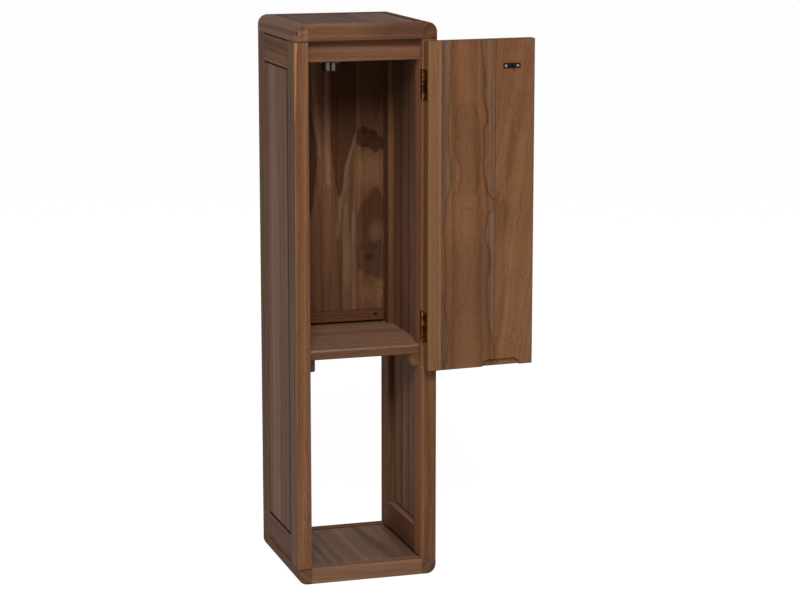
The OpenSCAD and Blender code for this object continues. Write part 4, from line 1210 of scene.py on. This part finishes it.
CARCASS_BOARDS: dict[str, Sawn] = {
    "top_left_corner_rail": Sawn(DEPTH, (20, -50), (0.0, 0.4), GREY, 6, 20, ends=0.0, rubbed_and_highlit=0.15, marks=(
        Streak(((-170, 1163, 1196), (-100, 1160, 1190), (40, 1158, 1184), (130, 1158, 1180)), srgb(88, 62, 48), 0.45,
            5, 0.2, IN_SIDE),
        band(UP, 1160, 1191, -153, -123, srgb(126, 88, 64), 0.65, 1, fade=3, straight=False),
        Streak(((1163, -134.5, -123), (1201, -134.5, -123)), srgb(140, 98, 70), 0.5, 1, 0.25),
        Patch((-149, 1181), (4.2, 7.5), KNOT_DARK, 0.75, soft=0.7),
        Streak(((1160, -144.5, -142.5), (1200, -143.5, -141.5)), srgb(142, 100, 72), 0.5, 0.6),
        # Painted shade in the groove by the top's left board.
        band(IN, -131, 131, -126.5, -120))),
    "top_right_corner_rail": Sawn(DEPTH, (30, -50), (0.3, 0.0), WARM.times(0.85), 4.5, 12, ends=0.1, rubbed_and_highlit=0.15,
        # Painted shade in the groove by the top's right board.
        tint=(0.86, 0.88, 0.92), marks=(band(IN, -131, 131, 120, 124.6),)),
    "top_front_rail": Sawn(WIDTH, (20, -45), (0.0, 1.2), WARM, 6.5, 24, 3, rubbed_and_highlit=0.2, tint=(0.8, 0.84, 0.96), marks=(
        # Painted highlight along the rounded upper arris.
        Streak(((-130, 1188, 1203), (-80, 1192, 1203), (-20, 1187, 1203), (60, 1193, 1203), (140, 1189, 1203)),
            srgb(146, 102, 74), 0.28, 2, 0.2, ACROSS),
        band(ACROSS, 10, 150, 1160, 1205, srgb(96, 62, 45), 0.75, 10, fade=50, straight=False))),
    "top_back_rail": Sawn(WIDTH, (-20, -60), (0.0, 0.5), GREY, 5, 16, rubbed_and_highlit=0.15, tint=(0.78, 0.72, 0.72),
        # Painted shade in the groove by the top's boards.
        marks=(band(OVER, -125, 125, 125, 131.4),)),
    "top_left_board": Sawn(DEPTH, (-50, -50), (0.6, 0.2), GREY, 6, 24, greys=0.5, tint=(0.6, 0.48, 0.44),
        # Painted shade in the groove by the left corner rail.
        marks=(band(IN, -140, 140, -140, -119, depth=0.95), SLAB_FRONT)),
    "top_middle_board": Sawn(DEPTH, (10, -35), (1.2, 0.0), GREY, 6, 24, tint=(0.6, 0.5, 0.48), marks=(SLAB_FRONT,)),
    "top_right_board": Sawn(DEPTH, (60, -45), (0.8, 0.0), GREY.times(1.1), 6, 24, tint=(0.74, 0.69, 0.69),
        marks=(SLAB_FRONT,)),
    "base_left_corner_rail": Sawn(DEPTH, (40, 50), (0.3, 0.0), DEEP.times(0.66), 4.5, 12, ends=0.1, rubbed_and_highlit=0.15,
        marks=(Streak(((2, -150, -123), (32, -154.5, -123)), srgb(112, 80, 60), 0.75, 2, fade=2),)),
    "base_right_corner_rail": Sawn(DEPTH, (-50, 40), (0.4, 0.0), DEEP, 4.5, 12, ends=0.1, rubbed_and_highlit=0.15,
        # Painted shade in the groove by the base's right board.
        tint=(0.97, 1.11, 1.3), marks=(band(IN, -131, 131, 120, 124.6),)),
    "base_front_rail": Sawn(WIDTH, (30, 28), (0.8, 2.4), WARM.times(1.08), 7, 32, 8, contrast=1.0, rubbed_and_highlit=0.15,
        tint=(1.0, 1.18, 1.5)),
    "base_back_rail": Sawn(WIDTH, (30, 50), (0.8, 0.5), DEEP, 5, 16, rubbed_and_highlit=0.15,
        # Painted shade in the groove by the base's boards.
        marks=(band(OVER, -125, 125, 125, 131.4, depth=0.7),)),
    "base_left_board": Sawn(DEPTH, (-30, -40), (0.8, 0.0), GREY, 6, 24, contrast=0.4, streaks=0.3,
        # Painted shade in the groove by the left corner rail.
        tint=(1.2, 1.24, 1.2), marks=(band(IN, -140, 140, -140, -121.3), SLAB_FRONT)),
    "base_middle_board": Sawn(DEPTH, (50, -50), (0.5, 0.0), GREY.times(1.12), 6, 24, contrast=0.4, streaks=0.3,
        tint=(1.2, 1.24, 1.2), marks=(SLAB_FRONT,)),
    "base_right_board": Sawn(DEPTH, (0, -30), (1.4, 0.6), GREY, 6, 30, 3, contrast=0.4, streaks=0.3,
        tint=(1.2, 1.16, 1.1), marks=(SLAB_FRONT,)),
    "left_front_stile": Sawn(HEIGHT, (60, -50), (0.3, 0.5), WARM.times(1.05), 6, 20, 2.5, streaks=0.6, rubbed_and_highlit=0.3,
        tint=(0.96, 0.98, 1.06), marks=(
        # Painted highlights along the left arris of the front face, wider near the top.
        Streak(((1000, -156, -154.5), (1040, -156, -152.8), (1110, -156, -150), (1168, -156, -147)),
            srgb(166, 118, 78), 0.85, 1.2, 0.15),
        band(UP, 30, 1020, -156, -154.2, srgb(146, 102, 70), 0.45, 0.6, fade=20, straight=False),
        # Painted shade on the side face, darker towards the top.
        band(UP_SIDE, 30, 1170, -153.5, -90, srgb(98, 74, 58), 0.85, 0.8, fade=6),
        band(UP_SIDE, 620, 1170, -153.5, -90, srgb(82, 60, 46), 0.6, 0.8, fade=120),
        Streak(((1112, -141.8, -140.5), (1130, -143.5, -138.5), (1150, -143, -138.5), (1168, -142, -139.5)),
            srgb(110, 58, 38), 0.55, 1.2),
        Arcs((-140, 20), (15, 340), srgb(146, 104, 74), 0.55, open=1.0),
        Arcs((-138, 700), (11, 120), srgb(92, 60, 40), 0.35, count=3.5),
        Arcs((-140, 330), (10, 100), srgb(92, 60, 40), 0.3, count=3.5),
        Patch((-113, 1144), (6, 5), KNOT_DARK, 0.75, run=IN_SIDE),
        Arcs((-113, 1144), (13, 13), srgb(142, 112, 88), 0.45, count=2.5, run=IN_SIDE),
        band(ACROSS, -160, -120, 1164, 1170, depth=0.75), band(IN_SIDE, -155.5, -90, 1163.3, 1170, depth=0.75))),
    "left_back_stile": Sawn(HEIGHT, (30, 90), (0.3, 0.2), GREY.times(0.9), 5, 16, rubbed_and_highlit=0.3, tint=(0.74, 0.73, 0.59),
        # Painted shade on the wall of the groove by the side panel, fainter below the top rail.
        marks=(band(UP_SIDE, 1100, 1168, 90, 97.8), band(UP_SIDE, 80, 1100, 90, 97.6, depth=0.35))),
    "left_top_rail": Sawn(DEPTH, (-20, -50), (0.3, 0.8), GREY, 6, 24, rubbed_and_highlit=0.15, tint=(0.88, 0.75, 0.59), marks=(
        # Painted shade in the gap at the back stile and in the groove under the top.
        band(UP_SIDE, 1100, 1170, 95.5, 120, depth=0.8), band(IN_SIDE, -120, 120, 1162.2, 1170),
        Streak(((-95, 1150, 1162), (-20, 1138, 1160), (60, 1126, 1158), (95, 1120, 1156)), srgb(76, 54, 46), 0.4, 4,
            0.2, IN_SIDE))),
    "left_bottom_rail": Sawn(DEPTH, (-20, 80), (0.4, 0.2), GREY, 5, 16, rubbed_and_highlit=0.15, tint=(0.74, 0.68, 0.64),
        # Painted shade in the groove above the rail.
        marks=(band(IN_SIDE, -120, 120, 94.4, 100),)),
    "left_front_board": Sawn(HEIGHT, (60, 50), (0.3, 0.1), GREY, 5.5, 20, streaks=0.8, greys=0.6,
        tint=(0.96, 0.95, 0.88), marks=(
        Streak(((90, -86, -70), (500, -84, -66), (900, -88, -72), (1105, -84, -66)), srgb(84, 52, 42), 0.35, 4,
            run=UP_SIDE),
        Streak(((90, -50, -20), (450, -46, -16), (1105, -52, -24)), srgb(104, 66, 52), 0.45, 5, run=UP_SIDE),
        # Painted shade in the groove by the front stile, wider than the groove.
        band(UP_SIDE, 80, 1120, -110, -86.2), *PANEL_ENDS)),
    "left_back_board": Sawn(HEIGHT, (90, -30), (0.2, 0.1), GREY.times(0.97), 5, 20, streaks=0.8, greys=0.6,
        tint=(1.03, 0.94, 0.9), marks=(
        Streak(((90, 20, 50), (450, 24, 52), (800, 18, 48), (1105, 22, 54)), srgb(104, 88, 72), 0.5, 6, run=UP_SIDE),
        *PANEL_ENDS)),
    "right_front_stile": Sawn(HEIGHT, (-40, 60), (0.2, 0.6), WARM, 6, 20, 2.5, rubbed_and_highlit=0.2, tint=(1.12, 1.1, 1.1),
        marks=(
        # Painted light on the inner face.
        band(UP, 30, 1168, 120, 124.4, srgb(126, 86, 62), 0.7, 0.2, fade=6),
        # Painted shadow on the front face's strip beside the door.
        band(UP, 508, 1168, 124.6, 127.4, srgb(74, 46, 29), 0.7, fade=6),
        band(ACROSS, 120, 160, 1164, 1170, depth=0.75),
        Arcs((140, 100), (14, 300), srgb(84, 54, 36), 0.4, open=1.0))),
    "right_back_stile": Sawn(HEIGHT, (20, -80), (0.2, 0.2), WARM.times(0.95), 5, 16, rubbed_and_highlit=0.2),
    "right_top_rail": Sawn(DEPTH, (20, -70), (0.2, 0.2), GREY, 5, 16, rubbed_and_highlit=0.15,
        # Painted shade in the groove under the top.
        marks=(band(IN_SIDE, -120, 120, 1162.2, 1170),)),
    "right_bottom_rail": Sawn(DEPTH, (20, 60), (0.4, 0.2), DEEP.times(1.05), 5, 16, rubbed_and_highlit=0.15,
        # Painted light on the rail's upper ledge.
        marks=(band(IN_SIDE, -120, 120, 94, 100, srgb(156, 112, 88), 0.6, 0.5, fade=6),)),
    "right_front_board": Sawn(HEIGHT, (-50, 40), (0.2, 0.2), GREY, 5.5, 22, streaks=0.8, greys=0.5, marks=(
        # Painted light on the inner face, and painted shade in the groove by the front stile.
        PAINTED_LIGHT_INNER_FACE, band(UP_SIDE, 80, 1120, -110, -93.1), *INNER_ENDS,
        Streak(((90, -46, -40), (1110, -50, -43)), HEART_DARK, 0.4, 2, run=UP_SIDE),
        Streak(((90, -30, -12), (1110, -26, -10)), srgb(92, 54, 40), 0.45, 3, run=UP_SIDE), PAINTED_SHADE_TOP_SIDE)),
    "right_back_board": Sawn(HEIGHT, (-80, 0), (0.2, 0.1), GREY, 5.5, 22, streaks=0.8, greys=0.5, marks=(
        PAINTED_LIGHT_INNER_FACE, *INNER_ENDS, Streak(((90, -2, 4), (1110, -2, 6)), HEART_DARK, 0.45, 1.5, run=UP_SIDE),
        Streak(((90, 30, 48), (1110, 34, 56)), srgb(96, 58, 42), 0.5, 3, run=UP_SIDE), PAINTED_SHADE_TOP_SIDE,
        # Painted light on the strip by the back stile.
        band(UP_SIDE, 90, 1110, 78, 110, srgb(150, 102, 70), 0.6, 2, fade=6, straight=False))),
    "head_rail": Sawn(WIDTH, (50, 45), (0.5, 1.4), WARM, 6, 22, 3, rubbed_and_highlit=0.2, tint=(0.95, 1.0, 1.1)),
    "back_board_1": Sawn(HEIGHT, (-10, 50), (0.6, 0.0), DEEP, 5.5, 20),
    "back_board_2": Sawn(HEIGHT, (20, 40), (0.9, 0.2), DEEP.times(0.95), 6.5, 24, 2, streaks=0.7, greys=0.3,
        tint=(1.13, 1.19, 1.26), marks=(
        Streak(((740, -80, -52), (770, -80, -42), (797, -80, -37), (861, -80, -31), (896, -80, -30), (930, -80, -33),
            (965, -80, -38), (1000, -80, -46), (1080, -80, -56)), HEART_DARK, 0.8, 3, 0.3),
        Streak(((880, -26, -20), (960, -31, -24), (1040, -40, -32), (1120, -44, -38)), BAND_PINK, 0.5, 3),
        Streak(((520, -16, -14), (800, -17, -15.5), (1150, -17, -15.5)), HEART_DARK, 0.45, 1),
        Streak(((820, -6, 2), (930, -11, -1), (1060, -12, -3), (1150, -11, -4)), BAND_TAN, 0.55, 3),
        Streak(((515, -54, -30), (600, -52, -26), (700, -46, -18), (760, -40, -20)), srgb(92, 62, 43), 0.4, 6))),
    "back_board_3": Sawn(HEIGHT, (10, 22), (1.6, 0.3), DEEP.times(0.96), 6.5, 24, 2, streaks=0.6, greys=0.35,
        tint=(1.12, 1.24, 1.25), marks=(
        Streak(((795, 21.5, 23.5), (811, 18, 28), (838, 13, 31), (866, 9, 36), (884, 6, 41), (907, 3, 49),
            (926, 0, 56.5), (942, -2, 60), (1150, -2, 60.5)), srgb(78, 45, 27), 0.8, 2, 0.3),
        Streak(((700, 12, 20), (780, 20, 30), (811, 29, 37), (850, 33, 42), (884, 42, 50), (907, 50, 57),
            (940, 60.5, 66)), BAND_PINK, 0.6, 2),
        Streak(((515, 28, 45), (640, 28, 46), (720, 30, 44), (780, 33, 40)), BAND_TAN, 0.5, 3),
        Streak(((515, 48, 60), (640, 49, 59), (760, 51, 58)), BAND_PINK, 0.75, 2), PAINTED_SHADE_TOP)),
    "back_board_4": Sawn(HEIGHT, (0, 25), (1.8, 0.2), DEEP.times(1.02), 6.5, 34, 5, streaks=0.4, greys=0.4,
        tint=(1.0, 1.0, 0.97), marks=(
        Patch((93, 850), (42, 70), BAND_TAN, 0.65),
        Streak(((58, 912, 934), (66, 908, 941), (73, 906, 946.5), (80, 906, 948.5), (87, 904, 942), (99, 900, 940),
            (106, 892, 935), (112, 894, 926), (122, 900, 919), (130, 900, 916)), srgb(70, 43, 28), 0.88, 3, 0.5,
            ACROSS),
        Patch((80, 938), (13, 8), KNOT_DARK, 0.8), Patch((100, 934), (14, 6), KNOT_DARK, 0.6, lean=-25.0),
        Patch((82, 909), (16, 6), KNOT_DARK, 0.5, soft=0.9), Arcs((88, 920), (50, 60), HEART_DARK, 0.35, count=4.0),
        Streak(((672, 76, 104), (690, 68, 116), (712, 64, 124), (738, 63, 128), (764, 68, 126), (786, 84, 120),
            (802, 96, 114), (814, 101, 108)), srgb(84, 52, 34), 0.75, 3, 0.25),
        Arcs((96, 738), (34, 70), HEART_DARK, 0.3, count=4.0), Patch((107, 710), (26, 40), srgb(120, 88, 68), 0.75),
        Streak(((604, 116, 132), (616, 94, 132), (630, 66, 132), (642, 60, 128), (658, 58, 132), (676, 64, 126),
            (690, 80, 108)), srgb(78, 54, 39), 0.75, 3, 0.3),
        Patch((90, 656), (14, 14), KNOT_DARK, 0.65, soft=0.95), Patch((102, 575), (52, 40), BAND_TAN, 0.45),
        Arcs((102, 560), (40, 50), HEART_DARK, 0.3, count=4.0, open=1.0), PAINTED_SHADE_TOP)),
    "upper_hanging_rail": Sawn(WIDTH, (30, 50), (0.5, 0.4), DEEP.times(0.95), 5, 14, rubbed_and_highlit=0.2),
    "lower_hanging_rail": Sawn(WIDTH, (30, -60), (0.5, 0.4), DEEP.times(0.95), 5, 14, rubbed_and_highlit=0.2),
    "shelf_front_board": Sawn(WIDTH, (30, -50), (0.6, 0.8), SHELF_PAINTED_LIGHT, 6, 22, 2, contrast=0.4, streaks=0.3, rubbed_and_highlit=0.2,
        marks=(
        # The front face is painted darker than the shelf's painted-light top.
        band(ACROSS, -140, 140, 480, 503.5, srgb(118, 82, 60), 0.85, 1.2, fade=6),
        # Painted highlight along the nose's upper arris.
        band(ACROSS, -140, 140, 503, 507.2, srgb(160, 120, 92), 0.65, 0.6, fade=6))),
    "shelf_back_board": Sawn(WIDTH, (-50, -50), (0.5, 0.5), SHELF_PAINTED_LIGHT, 6, 22, contrast=0.4, streaks=0.3),
    "left_cleat": Sawn(DEPTH, (30, 30), (0.3, 0.2), DEEP, 4, 10, rubbed_and_highlit=0.2),
    "right_cleat": Sawn(DEPTH, (30, 30), (0.3, 0.2), WARM, 4, 10, ends=0.1, rubbed_and_highlit=0.2),
}

DOOR_BOARDS: dict[str, Sawn] = {
    "door_hinge_board": Sawn(HEIGHT, (-120, 20), (0.1, 0.15), PALE, 3, 6, contrast=0.45, streaks=0.2, greys=0.1,
        bands=0.25, marks=(
        Streak(((450, 91.5, 106), (1170, 91.5, 108)), srgb(140, 101, 70), 0.45, 3),
        # The dark band on the hinge edge is painted shade in the gap by the stile.
        band(UP, 450, 1170, 121, 130, srgb(90, 59, 33), 0.75, fade=6), FOOT_LINE,
        band(UP, 450, 1170, 89.8, 91.1, depth=0.5))),
    "door_middle_board": Sawn(HEIGHT, (4, -40), (0.5, 0.2), WARM.times(1.06), 7.5, 30, 6, contrast=0.8, streaks=0.35,
        greys=0.15, bands=0.35, marks=(
        Streak(opened((15, 62, 104), (60, 60, 106), (110, 62, 110), (125, 72, 100)), REDDISH, 0.5, 8),
        Streak(opened((-4, 31, 55), (62, 31, 49.5), (135, 31, 47), (196, 31, 45), (244, 31, 48), (281, 31, 51),
            (312, 31, 47), (343, 31, 41), (362, 31, 40), (391, 31, 34), (415, 30, 31)), SAP_GREY, 0.8, 1.5, 0.45),
        Streak(opened((10, 71.6, 73.0), (44, 61.0, 62.2), (80, 57.5, 58.2)), BAND_TAN, 0.6, 0.8),
        Streak(opened((536, 30, 32), (584, 30, 41), (621, 30, 47), (650, 30, 47), (681, 30, 41.5), (706, 30, 33)),
            SAP_GREY, 0.75, 1.5, 0.6),
        Streak(opened((-4, 118, 156), (45, 123, 156), (74, 127, 156), (116, 127, 156), (157, 134, 156),
            (169, 134, 156), (191, 127.5, 156), (232, 127.5, 156), (268, 126, 156), (292, 129, 156), (317, 135, 156),
            (334, 146, 156), (342, 155, 156)), SAP_PINK, 0.65, 1.5, 0.75),
        Streak(opened((20, 131, 134), (60, 135, 139), (120, 134, 139), (157, 139, 143), (200, 136, 140),
            (260, 136, 140), (310, 141, 145)), BAND_PINK, 0.5, 1.5),
        Streak(opened((-4, 145, 154), (150, 146, 154), (300, 145, 154), (325, 148, 154)), SAP_GREY, 0.8, 1, 0.35),
        Streak(opened((362, 148, 156), (391, 134, 156), (420, 131.5, 156), (447, 139.5, 156), (478, 142.5, 156),
            (512, 138, 156), (548, 135.5, 156), (584, 137, 156), (621, 142.5, 156), (657, 150.5, 156),
            (671, 155, 156)), srgb(128, 98, 80), 0.8, 1.5, 0.65),
        Streak(opened((127, 83, 89), (133, 75, 101), (143, 64, 109), (164, 61, 114), (195, 63, 118), (235, 62, 118),
            (253, 66, 118), (274, 74, 115), (300, 73, 113), (327, 60, 108)), FLAME, 0.5, 3, 0.35),
        Streak(opened((430, 31, 150), (560, 31, 150), (710, 31, 150)), srgb(98, 66, 48), 0.48, 20, fade=50),
        FOOT_LINE, Arcs((32, 930), (23, 95), srgb(86, 56, 38), 0.35, count=3.5),
        Arcs((47.7, 637), (26, 75), srgb(84, 54, 36), 0.45, open=-1.0),
        Arcs((30, 780), (30, 60), srgb(88, 58, 40), 0.35, count=3.5, open=1.0),
        band(UP, 450, 1170, 89.8, 91.1, depth=0.5), band(UP, 450, 1170, -32.2, -30.9, depth=0.5))),
    "door_free_board": Sawn(HEIGHT, (20, -35), (1.0, -9.0), WARM.times(1.08), 6, 40, 20, contrast=0.65, streaks=0.4,
        greys=0.15, bands=0.3, marks=(
        Streak(opened((-10, 153, 243), (180, 153, 243)), srgb(104, 70, 48), 0.3, 10, fade=60),
        Streak(opened((420, 153, 243), (710, 153, 243)), srgb(142, 100, 68), 0.4, 10, fade=60),
        Patch((-70, 1125), (20, 20), srgb(142, 98, 66), 0.35, soft=0.9),
        Patch((-68.5, 1022), (4.5, 7.5), srgb(84, 54, 36), 0.5, soft=0.9),
        Patch((-85, 1044), (4, 5), srgb(84, 54, 36), 0.45, soft=0.9),
        Streak(opened((28, 228, 231), (52, 223, 226), (84, 216, 218.5)), srgb(146, 102, 72), 0.5, 1.5, 0.3),
        Streak(opened((40, 236, 238), (70, 230, 232), (100, 225, 227)), srgb(96, 62, 42), 0.45, 1.5),
        Arcs((-78, 480), (36, 75), srgb(84, 54, 36), 0.5, count=6.5, open=1.0),
        Arcs((-90, 640), (30, 50), srgb(88, 58, 40), 0.35, open=1.0),
        Arcs((-65, 800), (30, 70), srgb(88, 58, 40), 0.3, open=-1.0),
        Streak(opened((300, 225, 245), (450, 222, 245), (600, 224, 245)), srgb(132, 90, 60), 0.4, 6), FOOT_LINE,
        band(UP, 450, 1170, -130, -120.9, depth=0.5), band(UP, 450, 1170, -32.2, -30.9, depth=0.5))),
}


@dataclass
class Carcass:
    """The frames, boards, shelf and back that stay still.

    Attributes:
        soft: Width of the rounding on the boards' edges.
        seed: Seed of the first board's wood.
        step: Difference between the boards' seeds.
        boards: How each board was sawn.
    """

    soft: float = 0.0005
    seed: float = 1.0
    step: float = 7.3
    boards: dict[str, Sawn] = field(default_factory=lambda: dict(CARCASS_BOARDS))

    def build(self, shop: Shop) -> None:
        """Softens and paints every board."""
        shop.saw(self.boards, self.soft, STILL, self.seed, self.step)


@dataclass
class Door:
    """The door, drawn where it stands open.

    Attributes:
        angle: How far it stands open, in degrees.
        pin: Place of the hinge pins.
        soft: Width of the rounding on its edges.
        seed: Seed of the first board's wood.
        step: Difference between the boards' seeds.
        boards: How each board was sawn.
    """

    angle: float = 184.0
    pin: tuple[float, float] = (0.12275, -0.1585)
    soft: float = 0.0005
    seed: float = 401.0
    step: float = 11.7
    boards: dict[str, Sawn] = field(default_factory=lambda: dict(DOOR_BOARDS))

    def stand(self) -> Stand:
        """Where the closed door's axes lie while the door stands open."""
        pin, turn = Vector((*self.pin, 0.0)), math.radians(self.angle)
        return Stand(pin - Matrix.Rotation(turn, 3, "Z") @ pin, turn)

    def build(self, shop: Shop) -> None:
        """Softens and paints the door's boards."""
        shop.saw(self.boards, self.soft, self.stand(), self.seed, self.step)


@dataclass
class Hardware:
    """Hinges, catch, strike, screws and dowels.

    Attributes:
        soft: Width of the rounding on sheet metal.
        roller_soft: Width of the rounding on the rollers.
        peg_seed: Seed of the dowels' wood.
        finishes: The finish of each material slot.
        heads: The form of each set of screws.
        dull: Steel parts without a bright coat.
    """

    soft: float = 0.00022
    roller_soft: float = 0.0014
    peg_seed: float = 700.0
    finishes: dict[str, Metal] = field(default_factory=lambda: {
        "brass": BRASS, "black_steel": BLACK, "bright_steel": ZINC, "roller_plastic": ROLLER})
    heads: dict[str, Head] = field(default_factory=lambda: {
        "frame_hinge_screws": Head.SUNK, "door_hinge_screws": Head.SUNK, "strike_screws": Head.SUNK,
        "cleat_screws": Head.SUNK, "catch_screws": Head.ROUND})
    dull: tuple[str, ...] = ("catch_left_carriage", "catch_right_carriage", "cleat_screws")

    def build(self, shop: Shop, door: Door) -> None:
        """Softens the metal parts, grows the screws and dresses what stays as it is.

        Args:
            shop: Where pieces are made.
            door: The door, which carries some of them.
        """
        for index, (node, slot) in enumerate(shop.slots.items()):
            if slot not in self.finishes:
                continue
            metal = DULL if node in self.dull else self.finishes[slot]
            if "spring" in node:
                shop.dress(node, shop.finish(metal))
                continue
            if node in self.heads:
                stand = door.stand() if shop.bodies[node] == "door" else STILL
                piece = shop.screwed(node, self.heads[node], stand, metal, index)
            elif "roller" in node and "catch" in node:
                piece = shop.softened(node, self.roller_soft, ROLLER_FACETS)
            else:
                piece = shop.softened(node, self.soft)
            shop.install(piece, shop.finish(metal), node)
        peg = Sawn(HEIGHT, (0.0, 50.0), palette=RAW)
        shop.dress("dowels", peg.material("dowels", shop.solids["dowels"].data, self.peg_seed, STILL, shop.effects))


@dataclass
class Studio:
    """A pale floor, two soft lamps and the photograph's viewpoint.

    Attributes:
        lens: Focal length for a 36 mm wide picture.
        yaw: Turn of the camera about the vertical, in degrees.
        pitch: How far it looks down, in degrees.
        stand: Where it stands.
        around: Strength of the light from all round.
        lamps: Name, place, target, size and power of each lamp.
        floor: Half the floor's width.
        pale: How light the floor is to the object.
        faint: How light it is to the camera, beside its glow.
        glow: How much it glows to the camera.
    """

    lens: float = 108.84
    yaw: float = -17.101
    pitch: float = 11.020
    stand: tuple[float, float, float] = (-1.4114, -4.9811, 1.5952)
    around: float = 0.30
    lamps: tuple[tuple, ...] = (("key", (-0.84, -3.63, 3.35), (0.0, 0.0, 0.72), 1.5, 122.0),
                                ("fill", (-4.2, -1.2, 1.6), (0.0, 0.0, 0.7), 2.2, 44.0))
    floor: float = 40.0
    pale: float = 0.80
    faint: float = 0.22
    glow: float = 0.92

    def build(self) -> None:
        """Sets up the camera, the lamps, the floor and the background."""
        self._camera()
        self._floor()
        self._world()
        for lamp in self.lamps:
            self._lamp(*lamp)
        bpy.context.scene.view_settings.view_transform = "Standard"

    def _camera(self) -> None:
        """Places the camera."""
        turn, look = math.radians(self.yaw), math.radians(self.pitch)
        back = Vector((math.sin(turn) * math.cos(look), -math.cos(turn) * math.cos(look), math.sin(look)))
        right = Vector((math.cos(turn), math.sin(turn), 0.0))
        data = bpy.data.cameras.new("camera")
        data.lens, data.sensor_width, data.clip_end = self.lens, 36.0, 100.0
        camera = linked("camera", data)
        basis = Matrix((right, back.cross(right), back)).transposed().to_4x4()
        camera.matrix_world = Matrix.Translation(self.stand) @ basis
        bpy.context.scene.camera = camera

    @staticmethod
    def _lamp(name: str, place: Sequence[float], target: Sequence[float], size: float, power: float) -> None:
        """Hangs a soft square lamp that looks at a point.

        Args:
            name: Its name.
            place: Where it hangs.
            target: The point.
            size: Its width.
            power: Its power.
        """
        data = bpy.data.lights.new(name, "AREA")
        data.shape, data.size, data.energy = "SQUARE", size, power
        lamp = linked(name, data)
        lamp.location = place
        lamp.rotation_euler = (Vector(target) - Vector(place)).to_track_quat("-Z", "Y").to_euler()

    @staticmethod
    def _seen(w: Wiring) -> Socket:
        """1 where the camera sees a thing, in a mirror or through glass too, and 0 for the light on the object."""
        path = w.add("ShaderNodeLightPath", {}).outputs
        return w.math("MAXIMUM", path["Is Camera Ray"],
                      w.math("MAXIMUM", path["Is Glossy Ray"], path["Is Transmission Ray"]))

    def _floor(self) -> None:
        """Lays a pale floor that the camera sees as white but for the shadow."""
        mesh = bpy.data.meshes.new("floor")
        corners = ((-1, -1), (1, -1), (1, 1), (-1, 1))
        mesh.from_pydata([(x * self.floor, y * self.floor, 0.0) for x, y in corners], [], [(0, 1, 2, 3)])
        made, w, _ = new_material("floor")
        made.node_tree.nodes.remove(made.node_tree.nodes["Principled BSDF"])
        pale, faint = (w.add("ShaderNodeBsdfDiffuse", {"Color": (v, v, v)}).outputs[0] for v in (self.pale, self.faint))
        glow = w.add("ShaderNodeEmission", {"Strength": self.glow}).outputs[0]
        both = w.add("ShaderNodeAddShader", {0: faint, 1: glow}).outputs[0]
        mix = w.add("ShaderNodeMixShader", {0: self._seen(w), 1: pale, 2: both}).outputs[0]
        w.join(mix, made.node_tree.nodes["Material Output"].inputs[0])
        mesh.materials.append(made)
        linked("floor", mesh)

    def _world(self) -> None:
        """Makes the surroundings white to the camera and softly pale to the object."""
        world = bpy.data.worlds.new("studio")
        bpy.context.scene.world = world
        world.use_nodes = True
        w = Wiring(world.node_tree)
        back = world.node_tree.nodes["Background"].inputs
        w.join(w.spread(self._seen(w), self.around, 1.0), back["Strength"])
        w.join((1.0, 1.0, 1.0), back["Color"])


def main() -> None:
    """Builds the cabinet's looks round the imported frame."""
    logging.basicConfig(level=logging.INFO, format="%(name)s: %(message)s")
    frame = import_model()
    Studio().build()
    shop = Shop(frame)
    Carcass().build(shop)
    door = Door()
    door.build(shop)
    Hardware().build(shop, door)
    LOG.info("%d pieces", len(shop.made))


if __name__ == "__main__":
    main()
